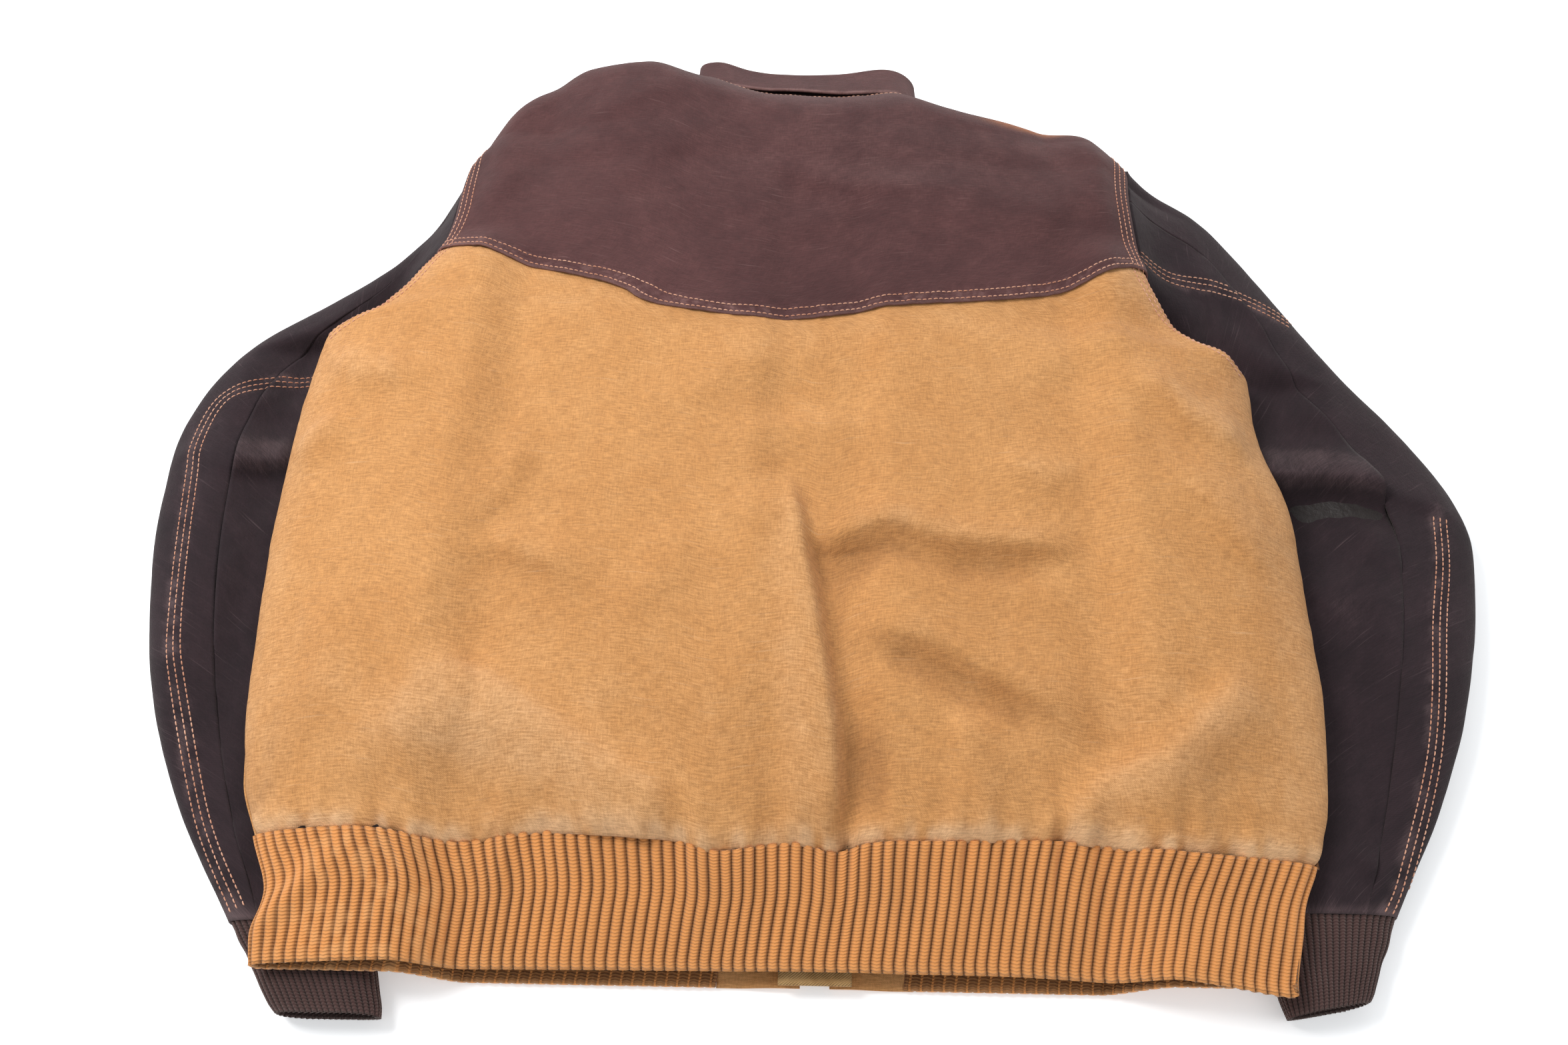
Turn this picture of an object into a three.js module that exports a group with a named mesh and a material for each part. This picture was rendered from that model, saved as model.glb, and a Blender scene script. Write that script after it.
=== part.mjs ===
// A two-tone cotton duck work jacket, laid face down and flat with its sleeves folded down along its sides.
// Millimetres, +Z up. The wearer's head points to +Y and the wearer's left is -X, so the back is on top.
// The pattern is drawn with the back's hem at y = 0 and its centre line near x = 0. The finished group is
// moved at the end so that the origin is the bottom centre of the whole jacket.
import * as THREE from "three";

// ---------------------------------------------------------------- driving dimensions
const CHEST_WIDTH = 713; // laid flat, side fold to side fold
const BODY_LENGTH = 704; // neck seam to the waistband's edge, along the back
const LOFT = 86; // height of the back over the front at mid body
const SLEEVE_LOFT = 25; // thickness of a sleeve lying flat under the body
const SLEEVE_PUFF = 14; // extra thickness of a sleeve where it lies free
const DUCK = 2.4; // outer shell, with its turned seam allowances
const QUILT = 4.4; // quilted body lining
const SLEEVE_QUILT = 3; // quilted sleeve lining
const RIB = 4.5; // doubled rib knit of waistband and cuffs
const WAISTBAND = 74; // depth of the waistband
const RIM = 8.6; // half the thickness of a side fold
const TAB_WIDTH = 48; // plain duck end of the waistband at each side of the zip
const COLLAR_STAND = 27; // neck seam to the foot of the leaf
const COLLAR_RISE = 12.5; // foot of the leaf to its fold
const COLLAR_FALL = 35; // fold to the outer edge of the leaf
const ZIP_CENTRE = 20; // the front lies this far to the right of the back's centre line
const CHAIN_PITCH = 4.5; // tooth to tooth on one side
const TOOTH = { long: 2.1, wide: 3.4, thick: 3.2 };
const TAPE = { wide: 14, thick: 0.8 };
const SLIDER = { wide: 13, long: 21, wall: 1.4 };
const PULL = { wide: 8, long: 38, thick: 1.5 };
const POCKET = { wide: 108, deep: 128, thick: 2, foot: 262 };
const FLAP = { deep: 52, point: 14, thick: 2, overlap: 3 };
const SNAP = { radius: 7.5, cap: 1.9, stud: 1.1 };
const WELT = { wide: 20, long: 150, thick: 1.8 };
const SEAM = 0.4; // clearance between two panels that are sewn edge to edge
const LAY = 0.35; // clearance between two layers that lie on each other
const ARMHOLE_SEAM = 3.2; // clearance between the body and the head of a sleeve

// The outlines below are drawn for this base size, and graded from it.
const BASE_SIZE = { chest: 713, length: 704 };
const grade = { x: CHEST_WIDTH / BASE_SIZE.chest, y: BODY_LENGTH / BASE_SIZE.length };

// ---------------------------------------------------------------- curves
const { lerp, clamp, smoothstep } = THREE.MathUtils;
const point = (x, y, z) => new THREE.Vector3(x, y, z);

// A smooth curve through [input, output] knots that never overshoots between them.
function profile(...knots) {
  const slope = knots.slice(1).map(([x, y], i) => (y - knots[i][1]) / (x - knots[i][0]));
  const tangent = knots.map((_, i) => {
    const [before, after] = [slope[i - 1], slope[i]];
    if (before === undefined) return after;
    if (after === undefined) return before;
    return before * after <= 0 ? 0 : (2 * before * after) / (before + after);
  });
  return (input) => {
    const x = clamp(input, knots[0][0], knots.at(-1)[0]);
    const i = Math.max(0, knots.findLastIndex((knot, k) => knot[0] <= x && k < knots.length - 1));
    const [[x0, y0], [x1, y1]] = [knots[i], knots[i + 1]];
    const width = x1 - x0;
    const t = (x - x0) / width;
    return (
      y0 * (1 + 2 * t) * (1 - t) ** 2 +
      y1 * t * t * (3 - 2 * t) +
      width * t * (1 - t) * (tangent[i] * (1 - t) - tangent[i + 1] * t)
    );
  };
}

// An outline that gives x at each y, and one that gives a height or share at each y.
const outline = (...knots) => profile(...knots.map(([y, x]) => [y * grade.y, x * grade.x]));
const along = (...knots) => profile(...knots.map(([y, value]) => [y * grade.y, value]));
const rail = (...points) =>
  new THREE.SplineCurve(points.map(([x, y]) => new THREE.Vector2(x * grade.x, y * grade.y)));

// ---------------------------------------------------------------- body outlines
const leftSide = outline(
  [0, -317], [40, -316], [74, -329], [112, -345], [190, -354], [300, -361],
  [420, -356], [452, -354], [470, -316], [490, -290], [522, -273], [565, -264], [642, -264],
);
const rightSide = outline(
  [0, 304], [40, 314], [74, 327], [112, 338], [200, 348], [300, 348],
  [395, 336], [428, 337], [444, 310], [466, 283], [506, 262], [572, 258], [650, 267],
);
const SHOULDER_Y = 642 * grade.y;

// y of the back seams, against the share of the half width from -1 at the left to 1 at the right.
const across = (...knots) => profile(...knots.map(([share, y]) => [share, y * grade.y]));
const yokeSeam = across(
  [-1, 522], [-0.72, 498], [-0.41, 475], [-0.2, 453], [-0.01, 443], [0.25, 454], [0.64, 472], [1, 506],
);
const shoulderLine = across(
  [-1, 642], [-0.93, 674], [-0.79, 724], [-0.65, 747], [-0.48, 748], [-0.29, 725], [-0.08, 705],
  [0.1, 702], [0.32, 712], [0.52, 699], [0.66, 691], [0.82, 677], [1, 650],
);
const frontYokeSeam = across([-1, 486], [-0.5, 455], [-0.1, 492], [0.1, 492], [0.5, 452], [1, 470]);
const NECK = { centre: 5 * grade.x, half: 88 * grade.x, front: 632 * grade.y, drop: 78 * grade.y };
const frontNeck = (x) => NECK.front + NECK.drop * ((x - NECK.centre) / NECK.half) ** 2;

const centre = (y) => (leftSide(y) + rightSide(y)) / 2;
const halfWidth = (y) => (rightSide(y) - leftSide(y)) / 2;
const shareAt = (x, y) => clamp((x - centre(y)) / halfWidth(y), -1, 1);

// ---------------------------------------------------------------- body surface
// Height of the front's outer skin over the table. It is lifted by the flap pockets, and by the sleeves
// under the two sides.
const ZIP_HEIGHT = 3;
const POCKET_HEIGHT = 9;
const UNDERLAP = SLEEVE_LOFT + 0.9; // height at which the sides clear the sleeves under them
const ZIP_RAMP = { from: 22, to: 50 }; // distances from the zip over which the front rises to its pockets
const sideLift = along([0, UNDERLAP], [494, UNDERLAP], [540, 12], [600, 12], [640, 20]);
const pocketLift = along([0, 0], [74, 1], [540, 1], [600, 0.2]);
const SIDE_RAMP = { from: 192 * grade.x, to: 236 * grade.x };
function underside(x, y) {
  const away = smoothstep(Math.abs(x - ZIP_CENTRE), ZIP_RAMP.from, ZIP_RAMP.to);
  const middle = lerp(ZIP_HEIGHT, POCKET_HEIGHT * pocketLift(y), away);
  return lerp(middle, sideLift(y), smoothstep(Math.abs(x), SIDE_RAMP.from, SIDE_RAMP.to));
}

// Height of the back over the front's outer skin, rolling down to the front at the shoulders.
const SHOULDER_ROLL = 54;
const NECK_FALL = 0.36; // share of the loft lost between the roll's start and the neck seam
const LAYERS_AT_SHOULDER = 2 * DUCK + 1.6;
const loftShare = along(
  [0, 0.21], [40, 0.34], [74, 0.49], [112, 0.65], [180, 0.84], [280, 0.96], [420, 1],
  [520, 1.02], [620, 1.06], [700, 0.98],
);
// The left shoulder stands higher than the rest, where the head of its sleeve is bunched up.
const HUMP = { share: 0.14, x: -140 * grade.x, wide: 80 * grade.x };
const humpRise = along([560, 0], [680, 1]);
const hump = (x, y) => HUMP.share * Math.exp(-(((x - HUMP.x) / HUMP.wide) ** 2)) * humpRise(y);
function loft(share, x, y) {
  const roll = clamp((y - shoulderLine(share) + SHOULDER_ROLL) / SHOULDER_ROLL, 0, 1);
  const shoulder = Math.sqrt(Math.max(0, 1 - roll * roll));
  const neck = 1 - smoothstep(Math.abs(x - NECK.centre), NECK.half - 16, NECK.half + 24);
  const full = loftShare(y) + hump(x, y);
  return Math.max(LOFT * full * lerp(shoulder, 1 - NECK_FALL * roll * roll, neck), LAYERS_AT_SHOULDER);
}

// How far the armhole stands open between back and front, and how square the back's edges are.
const armholeGap = along([452, 0], [490, 28], [560, 40], [610, 30], [641, 0]);
const roundness = along([430, 0.85], [520, 0.75]);
const RIM_TURN = 0.3; // sine of the angle at which the side fold has reached the front's level

// A point of the body: angle 0 is the right side fold, a quarter turn the middle of the back, and three
// quarters the middle of the front. Inset is the depth below the outer skin.
function body(angle, y, inset) {
  const share = Math.cos(angle);
  const up = Math.sin(angle);
  const x = centre(y) + (halfWidth(y) - inset) * share;
  const fold = underside(x, y) + RIM;
  if (up < 0) {
    const round = 1 - Math.min(1, -up / RIM_TURN);
    return point(x, y, fold - (RIM - inset) * Math.sqrt(1 - round * round));
  }
  const gap = armholeGap(y);
  return point(x, y, fold + gap + (loft(share, x, y) - RIM - gap - inset) * up ** roundness(y));
}
const frontAngle = (x, y) => 2 * Math.PI - Math.acos(shareAt(x, y));

// ---------------------------------------------------------------- sheets and tubes
const MATERIALS = {
  tanDuck: { color: 0xb87a35, roughness: 0.92 },
  brownDuck: { color: 0x3d2926, roughness: 0.92 },
  tanRib: { color: 0xb0702a, roughness: 0.95 },
  brownRib: { color: 0x3a2a22, roughness: 0.95 },
  quilt: { color: 0x2b2523, roughness: 0.6 },
  tape: { color: 0x9a6a36, roughness: 0.9 },
  brass: { color: 0xb58a3c, roughness: 0.35, metalness: 1 },
};
for (const [name, look] of Object.entries(MATERIALS)) MATERIALS[name] = new THREE.MeshStandardMaterial(look);

// Moves each corner of a closed geometry by shape, and turns its faces outwards if that turned them in.
function bend(geometry, shape) {
  const { position } = geometry.attributes;
  const corner = new THREE.Vector3();
  for (let i = 0; i < position.count; i++) {
    position.setXYZ(i, ...shape(corner.fromBufferAttribute(position, i)).toArray());
  }
  const [a, b, c] = [point(), point(), point()];
  let volume = 0;
  for (let i = 0; i < geometry.index.count; i += 3) {
    [a, b, c].forEach((p, k) => p.fromBufferAttribute(position, geometry.index.getX(i + k)));
    volume += a.dot(b.cross(c));
  }
  if (volume < 0) geometry.index.array.reverse();
  geometry.computeVertexNormals();
  return geometry;
}

// Splits a four-sided cell along its other diagonal, so that both faces of a sheet are split alike.
function turnDiagonal(index, at) {
  const [a, b, d, ...rest] = [0, 1, 2, 3, 4, 5].map((k) => index.getX(at + k));
  const c = rest.find((corner) => corner !== b && corner !== d);
  [a, b, c, a, c, d].forEach((corner, k) => index.setX(at + k, corner));
}

// A sheet: shape(u, v, w) places it, with u and v from 0 to 1 over it and w from 0 to 1 through it.
function sheet(cells, shape) {
  const block = new THREE.BoxGeometry(1, 1, 1, cells[0], cells[1], 1);
  const { start, count } = block.groups.at(-1);
  for (let at = start; at < start + count; at += 6) turnDiagonal(block.index, at);
  return bend(block, (p) => shape(p.x + 0.5, p.y + 0.5, p.z + 0.5));
}

// A tube wall: shape(angle, v, w), with v from 0 to 1 along it and w from 0 to 1 through the wall.
function tube(cells, shape) {
  const wall = [];
  for (let i = 0; i <= cells[1]; i++) wall.push(new THREE.Vector2(1, i / cells[1]));
  for (let i = cells[1]; i >= 0; i--) wall.push(new THREE.Vector2(2, i / cells[1]));
  const turned = new THREE.LatheGeometry([...wall, wall[0]], cells[0]);
  for (let cell = 0; cell < turned.index.count / 6; cell++) {
    if (cell % wall.length > cells[1]) turnDiagonal(turned.index, cell * 6);
  }
  return bend(turned, (p) => shape(Math.atan2(p.z, p.x), p.y, Math.hypot(p.x, p.z) - 1));
}

function mesh(name, geometry, look) {
  const made = new THREE.Mesh(geometry, MATERIALS[look]);
  made.name = name;
  return made;
}

// ---------------------------------------------------------------- body panels
const EDGE_TURN = 0.004; // radians kept clear of a side seam
const HEM = WAISTBAND;
const PLACKET = 9; // from the zip's centre line to the folded edge of a front
const BACK_CELLS = { around: 16, panel: 9, yoke: 7 };
const FRONT_CELLS = { panel: 7, yoke: 6 };
const LINING_LAY = 1;
const SLEEVE_LAY = 1.2;

// Rows of the back run from the hem to the yoke seam and on to the shoulder, closer together on the roll.
function backSheet(from, to, inset, thickness) {
  return sheet([BACK_CELLS.around, to - from], (u, v, w) => {
    const angle = lerp(Math.PI - EDGE_TURN, EDGE_TURN, u);
    const share = Math.cos(angle);
    const row = Math.round(lerp(from, to, v));
    const clear = to <= BACK_CELLS.panel ? -SEAM / 2 : SEAM / 2;
    const seam = yokeSeam(share) + clear;
    const onYoke = Math.sin(((row - BACK_CELLS.panel) / BACK_CELLS.yoke) * (Math.PI / 2));
    const y =
      row <= BACK_CELLS.panel
        ? lerp(HEM + SEAM, seam, row / BACK_CELLS.panel)
        : lerp(seam, shoulderLine(share), onYoke);
    return body(angle, y, inset + w * thickness);
  });
}
const BACK_ROWS = BACK_CELLS.panel + BACK_CELLS.yoke;
const backPanel = () => backSheet(0, BACK_CELLS.panel, 0, DUCK);
const backYoke = () => backSheet(BACK_CELLS.panel, BACK_ROWS, 0, DUCK);
const backLining = () => backSheet(0, BACK_ROWS - 1, DUCK + LINING_LAY, QUILT);

// Columns of a front: down the side fold, then at each bend of the front, then its edge by the zip.
const FOLD_SHARES = [1, 0.985, Math.sqrt(1 - RIM_TURN ** 2)];
function frontAngles(side, y, edge) {
  const shares = FOLD_SHARES.map((share) => side * share);
  const bends = [SIDE_RAMP.to, SIDE_RAMP.from].map((x) => side * x);
  const flat = [ZIP_RAMP.to, ZIP_RAMP.from, edge].map((x) => ZIP_CENTRE + side * x);
  for (const x of [...bends, ...flat]) shares.push(shareAt(x, y));
  const angles = shares.map((share) => 2 * Math.PI - Math.acos(clamp(share, -1, 1)));
  angles[0] = side < 0 ? Math.PI + EDGE_TURN : 2 * Math.PI - EDGE_TURN;
  return angles;
}

// Rows of a front run from the hem to its yoke seam and on to the shoulder and neck.
function frontSheet(side, from, to, edge, inset, thickness) {
  const columns = frontAngles(side, HEM, edge).length - 1;
  return sheet([columns, to - from], (u, v, w) => {
    const column = Math.round(u * columns);
    const row = Math.round(lerp(from, to, v));
    const lowX = body(frontAngles(side, HEM, edge)[column], HEM, 0).x;
    const highX = body(frontAngles(side, SHOULDER_Y, edge)[column], SHOULDER_Y, 0).x;
    const seam = frontYokeSeam(shareAt(lowX, HEM)) + (to <= FRONT_CELLS.panel ? -SEAM / 2 : SEAM / 2);
    const onNeck = Math.abs(highX - NECK.centre) < NECK.half;
    const top = onNeck ? frontNeck(highX) : shoulderLine(shareAt(highX, SHOULDER_Y));
    const y =
      row <= FRONT_CELLS.panel
        ? lerp(HEM + SEAM, seam, row / FRONT_CELLS.panel)
        : lerp(seam, top, (row - FRONT_CELLS.panel) / FRONT_CELLS.yoke);
    return body(frontAngles(side, y, edge)[column], y, inset + w * thickness);
  });
}
const FRONT_ROWS = FRONT_CELLS.panel + FRONT_CELLS.yoke;
const LINING_EDGE = TAPE.wide + 4.8;
const frontPanel = (side) => frontSheet(side, 0, FRONT_CELLS.panel, PLACKET, 0, DUCK);
const frontYoke = (side) => frontSheet(side, FRONT_CELLS.panel, FRONT_ROWS, PLACKET, 0, DUCK);
const frontLining = (side) => frontSheet(side, 0, FRONT_ROWS - 1, LINING_EDGE, DUCK + LINING_LAY, QUILT);

// ---------------------------------------------------------------- waistband
const backHem = across([-1, -1], [-0.7, 2], [0.4, 4], [0.75, 0], [1, -9]);
const FRONT_HEM = -2;
const TAB_EDGE = PLACKET + TAB_WIDTH;
const hemEdge = (angle) =>
  lerp(FRONT_HEM, backHem(Math.cos(angle)), smoothstep(Math.sin(angle), -0.2, 0.25));

function waistband() {
  return sheet([34, 2], (u, v, w) => {
    const end = (y, side) => frontAngle(ZIP_CENTRE + side * (TAB_EDGE + SEAM), y);
    const at = (y) => lerp(end(y, 1) - 2 * Math.PI, end(y, -1), u);
    const y = lerp(hemEdge(at(0)), HEM, v);
    return body(at(y), y, w * RIB);
  });
}

function waistTab(side) {
  return sheet([3, 2], (u, v, w) => {
    const y = lerp(FRONT_HEM, HEM, v);
    const x = ZIP_CENTRE + side * lerp(TAB_EDGE, PLACKET, u);
    return body(frontAngle(x, y), y, w * DUCK);
  });
}

// ---------------------------------------------------------------- collar
// The neck ring uses the same angles as the body. The collar grows from it towards +Y.
const COLLAR_OPEN = Math.asin((PLACKET + ZIP_CENTRE - NECK.centre) / NECK.half) + 0.02;
const COLLAR_START = -Math.PI / 2 + COLLAR_OPEN;
const COLLAR_END = (3 * Math.PI) / 2 - 0.02;
const NECK_SIDE_CLEAR = 6; // extra seam clearances where the collar turns from the back to the front
const DROOP = 0.36; // fall of the collar's back for each unit of its rise

// The top edge of the back yoke, which is straight between the corners of its cells.
const yokeCorners = Array.from({ length: BACK_CELLS.around + 1 }, (_, i) => {
  const angle = lerp(Math.PI - EDGE_TURN, EDGE_TURN, i / BACK_CELLS.around);
  return body(angle, shoulderLine(Math.cos(angle)), 0);
});
function yokeTop(x) {
  const i = clamp(yokeCorners.findIndex((corner) => corner.x > x), 1, BACK_CELLS.around);
  const [from, to] = [yokeCorners[i - 1], yokeCorners[i]];
  return from.clone().lerp(to, (x - from.x) / (to.x - from.x));
}

function neckRing(angle, outward) {
  const [share, up] = [Math.cos(angle), Math.sin(angle)];
  const x = NECK.centre + (NECK.half + outward) * share;
  const low = underside(x, NECK.front) + DUCK;
  const back = yokeTop(x);
  const side = back.y + SEAM * (1 + NECK_SIDE_CLEAR * (1 - Math.max(up, 0)));
  const y = up < 0 ? lerp(side, frontNeck(x) + 2 * SEAM, up ** 2) : side;
  return point(x, y, lerp(low, yokeTop(NECK.centre).z, (up + 1) / 2) + outward * up);
}

// Moves a point of the collar along it from its foot, and down with its droop.
function raise(foot, angle, rise) {
  return foot.add(point(0, rise, (-rise * DROOP * (1 + Math.sin(angle))) / 2));
}

function collarStand() {
  return sheet([24, 1], (u, v, w) => {
    const angle = lerp(COLLAR_START, COLLAR_END, u);
    return raise(neckRing(angle, -w * DUCK), angle, v * COLLAR_STAND);
  });
}

// The leaf rises from the stand, folds over and falls back down over the stand's outside.
const FOLD_RADIUS = 1.6;
function leafPath(s) {
  const turn = Math.PI * (FOLD_RADIUS + DUCK / 2);
  if (s < COLLAR_RISE) return { along: s, turned: 0 };
  if (s > COLLAR_RISE + turn) return { along: 2 * COLLAR_RISE + turn - s, turned: Math.PI };
  return { along: COLLAR_RISE, turned: ((s - COLLAR_RISE) / turn) * Math.PI };
}

function collarLeaf() {
  const turn = Math.PI * (FOLD_RADIUS + DUCK / 2);
  const length = COLLAR_RISE + turn + COLLAR_FALL;
  const fall = length - COLLAR_FALL;
  const knots = [0, COLLAR_RISE, COLLAR_RISE + 3, COLLAR_RISE + 6, fall, fall + 22, length];
  return sheet([24, knots.length - 1], (u, v, w) => {
    const path = leafPath(knots[Math.round(v * (knots.length - 1))]);
    const radius = FOLD_RADIUS + (1 - w) * DUCK;
    const out = FOLD_RADIUS - radius * Math.cos(path.turned);
    const angle = lerp(COLLAR_START, COLLAR_END, u);
    const rise = COLLAR_STAND + SEAM + path.along + radius * Math.sin(path.turned);
    return raise(neckRing(angle, out), angle, rise);
  });
}

function hangerLoop() {
  const strap = new THREE.Shape();
  strap.absarc(0, 0, 16, 0, Math.PI).absarc(0, 0, 11, Math.PI, 0, true);
  const loop = new THREE.ExtrudeGeometry(strap, { depth: 2, bevelEnabled: false, curveSegments: 8 });
  const top = neckRing(Math.PI / 2, -DUCK - LAY);
  loop.rotateX(Math.PI).translate(0, COLLAR_STAND - 4, 0);
  loop.setIndex(Array.from({ length: loop.attributes.position.count }, (_, i) => i));
  return bend(loop, (p) => raise(point(top.x + p.x, top.y, top.z - 0.8 + p.z), Math.PI / 2, p.y));
}

// ---------------------------------------------------------------- sleeves
// Each sleeve has a rail down its outer fold and one down its inner fold, from the armhole to the cuff.
const SLEEVES = {
  left: {
    side: -1,
    outer: rail([-268, 640], [-318, 545], [-415, 462], [-450, 395], [-453, 330], [-444, 255], [-424, 180],
      [-390, 102], [-341, 28]),
    inner: rail([-356, 462], [-318, 440], [-278, 405], [-256, 355], [-250, 300], [-248, 240], [-246, 170],
      [-246, 95], [-254, 28]),
    mouth: [[-303, -25], [-238, -25]],
  },
  right: {
    side: 1,
    outer: rail([271, 648], [330, 590], [405, 455], [450, 385], [476, 320], [470, 262], [446, 180],
      [416, 112], [376, 44]),
    inner: rail([337, 438], [300, 422], [262, 395], [246, 350], [246, 300], [248, 250], [254, 190],
      [268, 110], [292, 44]),
    mouth: [[352, -6], [300, -16]],
  },
};
const SLEEVE_CELLS = { around: 12, along: 13 };
const HEAD_ROWS = 3;
const HEAD = 0.13; // share of the sleeve that eases from the armhole's shape to a flat tube
const ARM_ROUND = 0.6;
const ARM_FLAT = Math.sin(Math.PI / 3) ** ARM_ROUND; // the middle half of a sleeve lies flat
const SEAM_TURN = 0.03; // radians kept clear of a sleeve seam
const CUFF_START = 0.007; // share of the cuff's length kept clear of the sleeve

const sideOf = (side, y) => (side < 0 ? leftSide(y) : rightSide(y));
function armRise(angle) {
  const up = Math.sin(angle);
  return clamp(0.5 + (Math.sign(up) * Math.abs(up) ** ARM_ROUND) / (2 * ARM_FLAT), 0, 1);
}

// Where a share of the sleeve's width lies in plan: on its rails, or along the armhole at its head.
function sleevePlan({ side, outer, inner }, t, share) {
  const [shoulder, armpit] = [outer.getPoint(0), inner.getPoint(0)];
  const seamY = lerp(shoulder.y, armpit.y, share);
  const seam = new THREE.Vector2(sideOf(side, seamY) + side * ARMHOLE_SEAM, seamY);
  const at = outer.getPoint(t).lerp(inner.getPoint(t), share);
  return { seam, at: at.lerp(seam, 1 - smoothstep(t, 0, HEAD)) };
}

// The direction square to a rail that points into the sleeve.
function intoSleeve(fold, t, side) {
  const tangent = fold.getTangent(t);
  return new THREE.Vector2(-tangent.y, tangent.x).multiplyScalar(side);
}

function sleeve(arm, angle, t, inset) {
  const { side, outer, inner } = arm;
  const share = (1 + Math.cos(angle)) / 2;
  const head = 1 - smoothstep(t, 0, HEAD);
  const skin = sleevePlan(arm, t, share);
  const end = smoothstep(t, 1 - HEAD, 1);
  const across = inner.getPoint(t).sub(outer.getPoint(t)).normalize();
  const fromOuter = intoSleeve(outer, t, -side).lerp(across, Math.max(head, end));
  const fromInner = intoSleeve(inner, t, side).lerp(across.clone().negate(), end);
  const at = skin.at.clone().addScaledVector(fromOuter, inset * (1 - share));
  at.addScaledVector(fromInner, inset * share);

  const outside = side * (skin.at.x - sideOf(side, skin.at.y));
  const free = smoothstep(outside, 14, 60) * smoothstep(1 - t, 0, 0.3);
  const raised = head * smoothstep(outside, -9, 0);
  const fold = underside(skin.seam.x, skin.seam.y) + RIM;
  const pit = smoothstep(share, 0.55, 0.88);
  const floor = lerp(0.2, lerp(fold - 3, 1, pit), raised);
  const seamRoof = fold + Math.max(armholeGap(skin.seam.y), 13);
  const roof = lerp(SLEEVE_LOFT + SLEEVE_PUFF * free, lerp(seamRoof, SLEEVE_LOFT - 3, pit), raised);
  const rise = armRise(angle);
  return point(at.x, at.y, lerp(floor + inset, roof - inset, rise));
}

function sleevePanel(arm, start, end) {
  const cells = Math.round((end - start) / ((2 * Math.PI) / SLEEVE_CELLS.around));
  return sheet([cells, SLEEVE_CELLS.along], (u, v, w) => {
    const clear = u === 0 ? SEAM_TURN : u === 1 ? -SEAM_TURN : 0;
    return sleeve(arm, lerp(start, end, u) + clear, v, w * DUCK);
  });
}

// The lining stops short of the head, where the sleeve is folded flat on itself.
function sleeveLining(arm) {
  const rows = SLEEVE_CELLS.along - HEAD_ROWS;
  return tube([SLEEVE_CELLS.around, rows], (angle, v, w) =>
    sleeve(arm, angle, (HEAD_ROWS + v * rows) / SLEEVE_CELLS.along, DUCK + SLEEVE_LAY + w * SLEEVE_QUILT));
}

function cuff(arm) {
  const [outerMouth, innerMouth] = arm.mouth.map(([x, y]) => new THREE.Vector2(x * grade.x, y * grade.y));
  return tube([16, 3], (angle, v, w) => {
    const start = sleeve(arm, angle, 1, w * RIB);
    const reach = 0.5 + (Math.cos(angle) / 2) * (1 - (w * RIB) / (outerMouth.distanceTo(innerMouth) / 2));
    const mouth = outerMouth.clone().lerp(innerMouth, reach);
    const rise = armRise(angle);
    const end = point(mouth.x, mouth.y, lerp(0.2 + w * RIB, SLEEVE_LOFT - 2 - w * RIB, rise));
    return start.lerp(end, lerp(CUFF_START, 1, v));
  });
}

// ---------------------------------------------------------------- zip
const box = (wide, long, thick, x, y, z) => new THREE.BoxGeometry(wide, long, thick).translate(x, y, z);
const ZIP = { foot: 4 * grade.y, top: frontNeck(ZIP_CENTRE) - 6 };
const TAPE_Z = ZIP_HEIGHT + DUCK + LAY + TAPE.thick / 2;
const CHANNEL = 0.75; // half the width of the channel that the slider's post runs in
const BOX = { wide: 9, long: 12 };

function zipTape(side) {
  const foot = ZIP.foot + BOX.long + SEAM;
  const x = ZIP_CENTRE + side * (TOOTH.wide / 2 + LAY + 0.6 + TAPE.wide / 2);
  return box(TAPE.wide, ZIP.top - foot, TAPE.thick, x, (ZIP.top + foot) / 2, TAPE_Z);
}

// One side of the chain: a cord with a tooth at every pitch. The two sides are half a pitch apart.
function zipTeeth(side) {
  const start = ZIP.foot + 14;
  const count = Math.floor((ZIP.top - 12 - start) / CHAIN_PITCH);
  const first = start + (side < 0 ? 0 : CHAIN_PITCH / 2);
  const cordX = [side * (TOOTH.wide / 2), side * (TOOTH.wide / 2 + 0.6)];
  const comb = new THREE.Shape().moveTo(cordX[1], first - 1).lineTo(cordX[0], first - 1);
  for (let i = 0; i < count; i++) {
    const y = first + i * CHAIN_PITCH;
    comb.lineTo(cordX[0], y).lineTo(side * CHANNEL, y);
    comb.lineTo(side * CHANNEL, y + TOOTH.long).lineTo(cordX[0], y + TOOTH.long);
  }
  const last = first + count * CHAIN_PITCH;
  comb.lineTo(cordX[0], last).lineTo(cordX[1], last);
  const teeth = new THREE.ExtrudeGeometry(comb, { depth: TOOTH.thick, bevelEnabled: false });
  return teeth.translate(ZIP_CENTRE, 0, TAPE_Z - TOOTH.thick / 2);
}

// A slider body: two plates joined by a post that runs in the channel between the two rows of teeth.
function zipSlider() {
  const hollow = TOOTH.thick / 2 + LAY;
  const half = SLIDER.wide / 2;
  const post = CHANNEL - LAY;
  const section = new THREE.Shape().moveTo(-half, -hollow - SLIDER.wall).lineTo(half, -hollow - SLIDER.wall);
  section.lineTo(half, -hollow).lineTo(post, -hollow).lineTo(post, hollow).lineTo(half, hollow);
  section.lineTo(half, hollow + SLIDER.wall).lineTo(-half, hollow + SLIDER.wall).lineTo(-half, hollow);
  section.lineTo(-post, hollow).lineTo(-post, -hollow).lineTo(-half, -hollow);
  const slider = new THREE.ExtrudeGeometry(section, { depth: SLIDER.long, bevelEnabled: false });
  return slider.rotateX(Math.PI / 2).translate(ZIP_CENTRE, SLIDER_TOP, TAPE_Z);
}
const SLIDER_TOP = ZIP.top - 2;
const SLIDER_FRONT = TAPE_Z - TOOTH.thick / 2 - LAY - SLIDER.wall;

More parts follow.
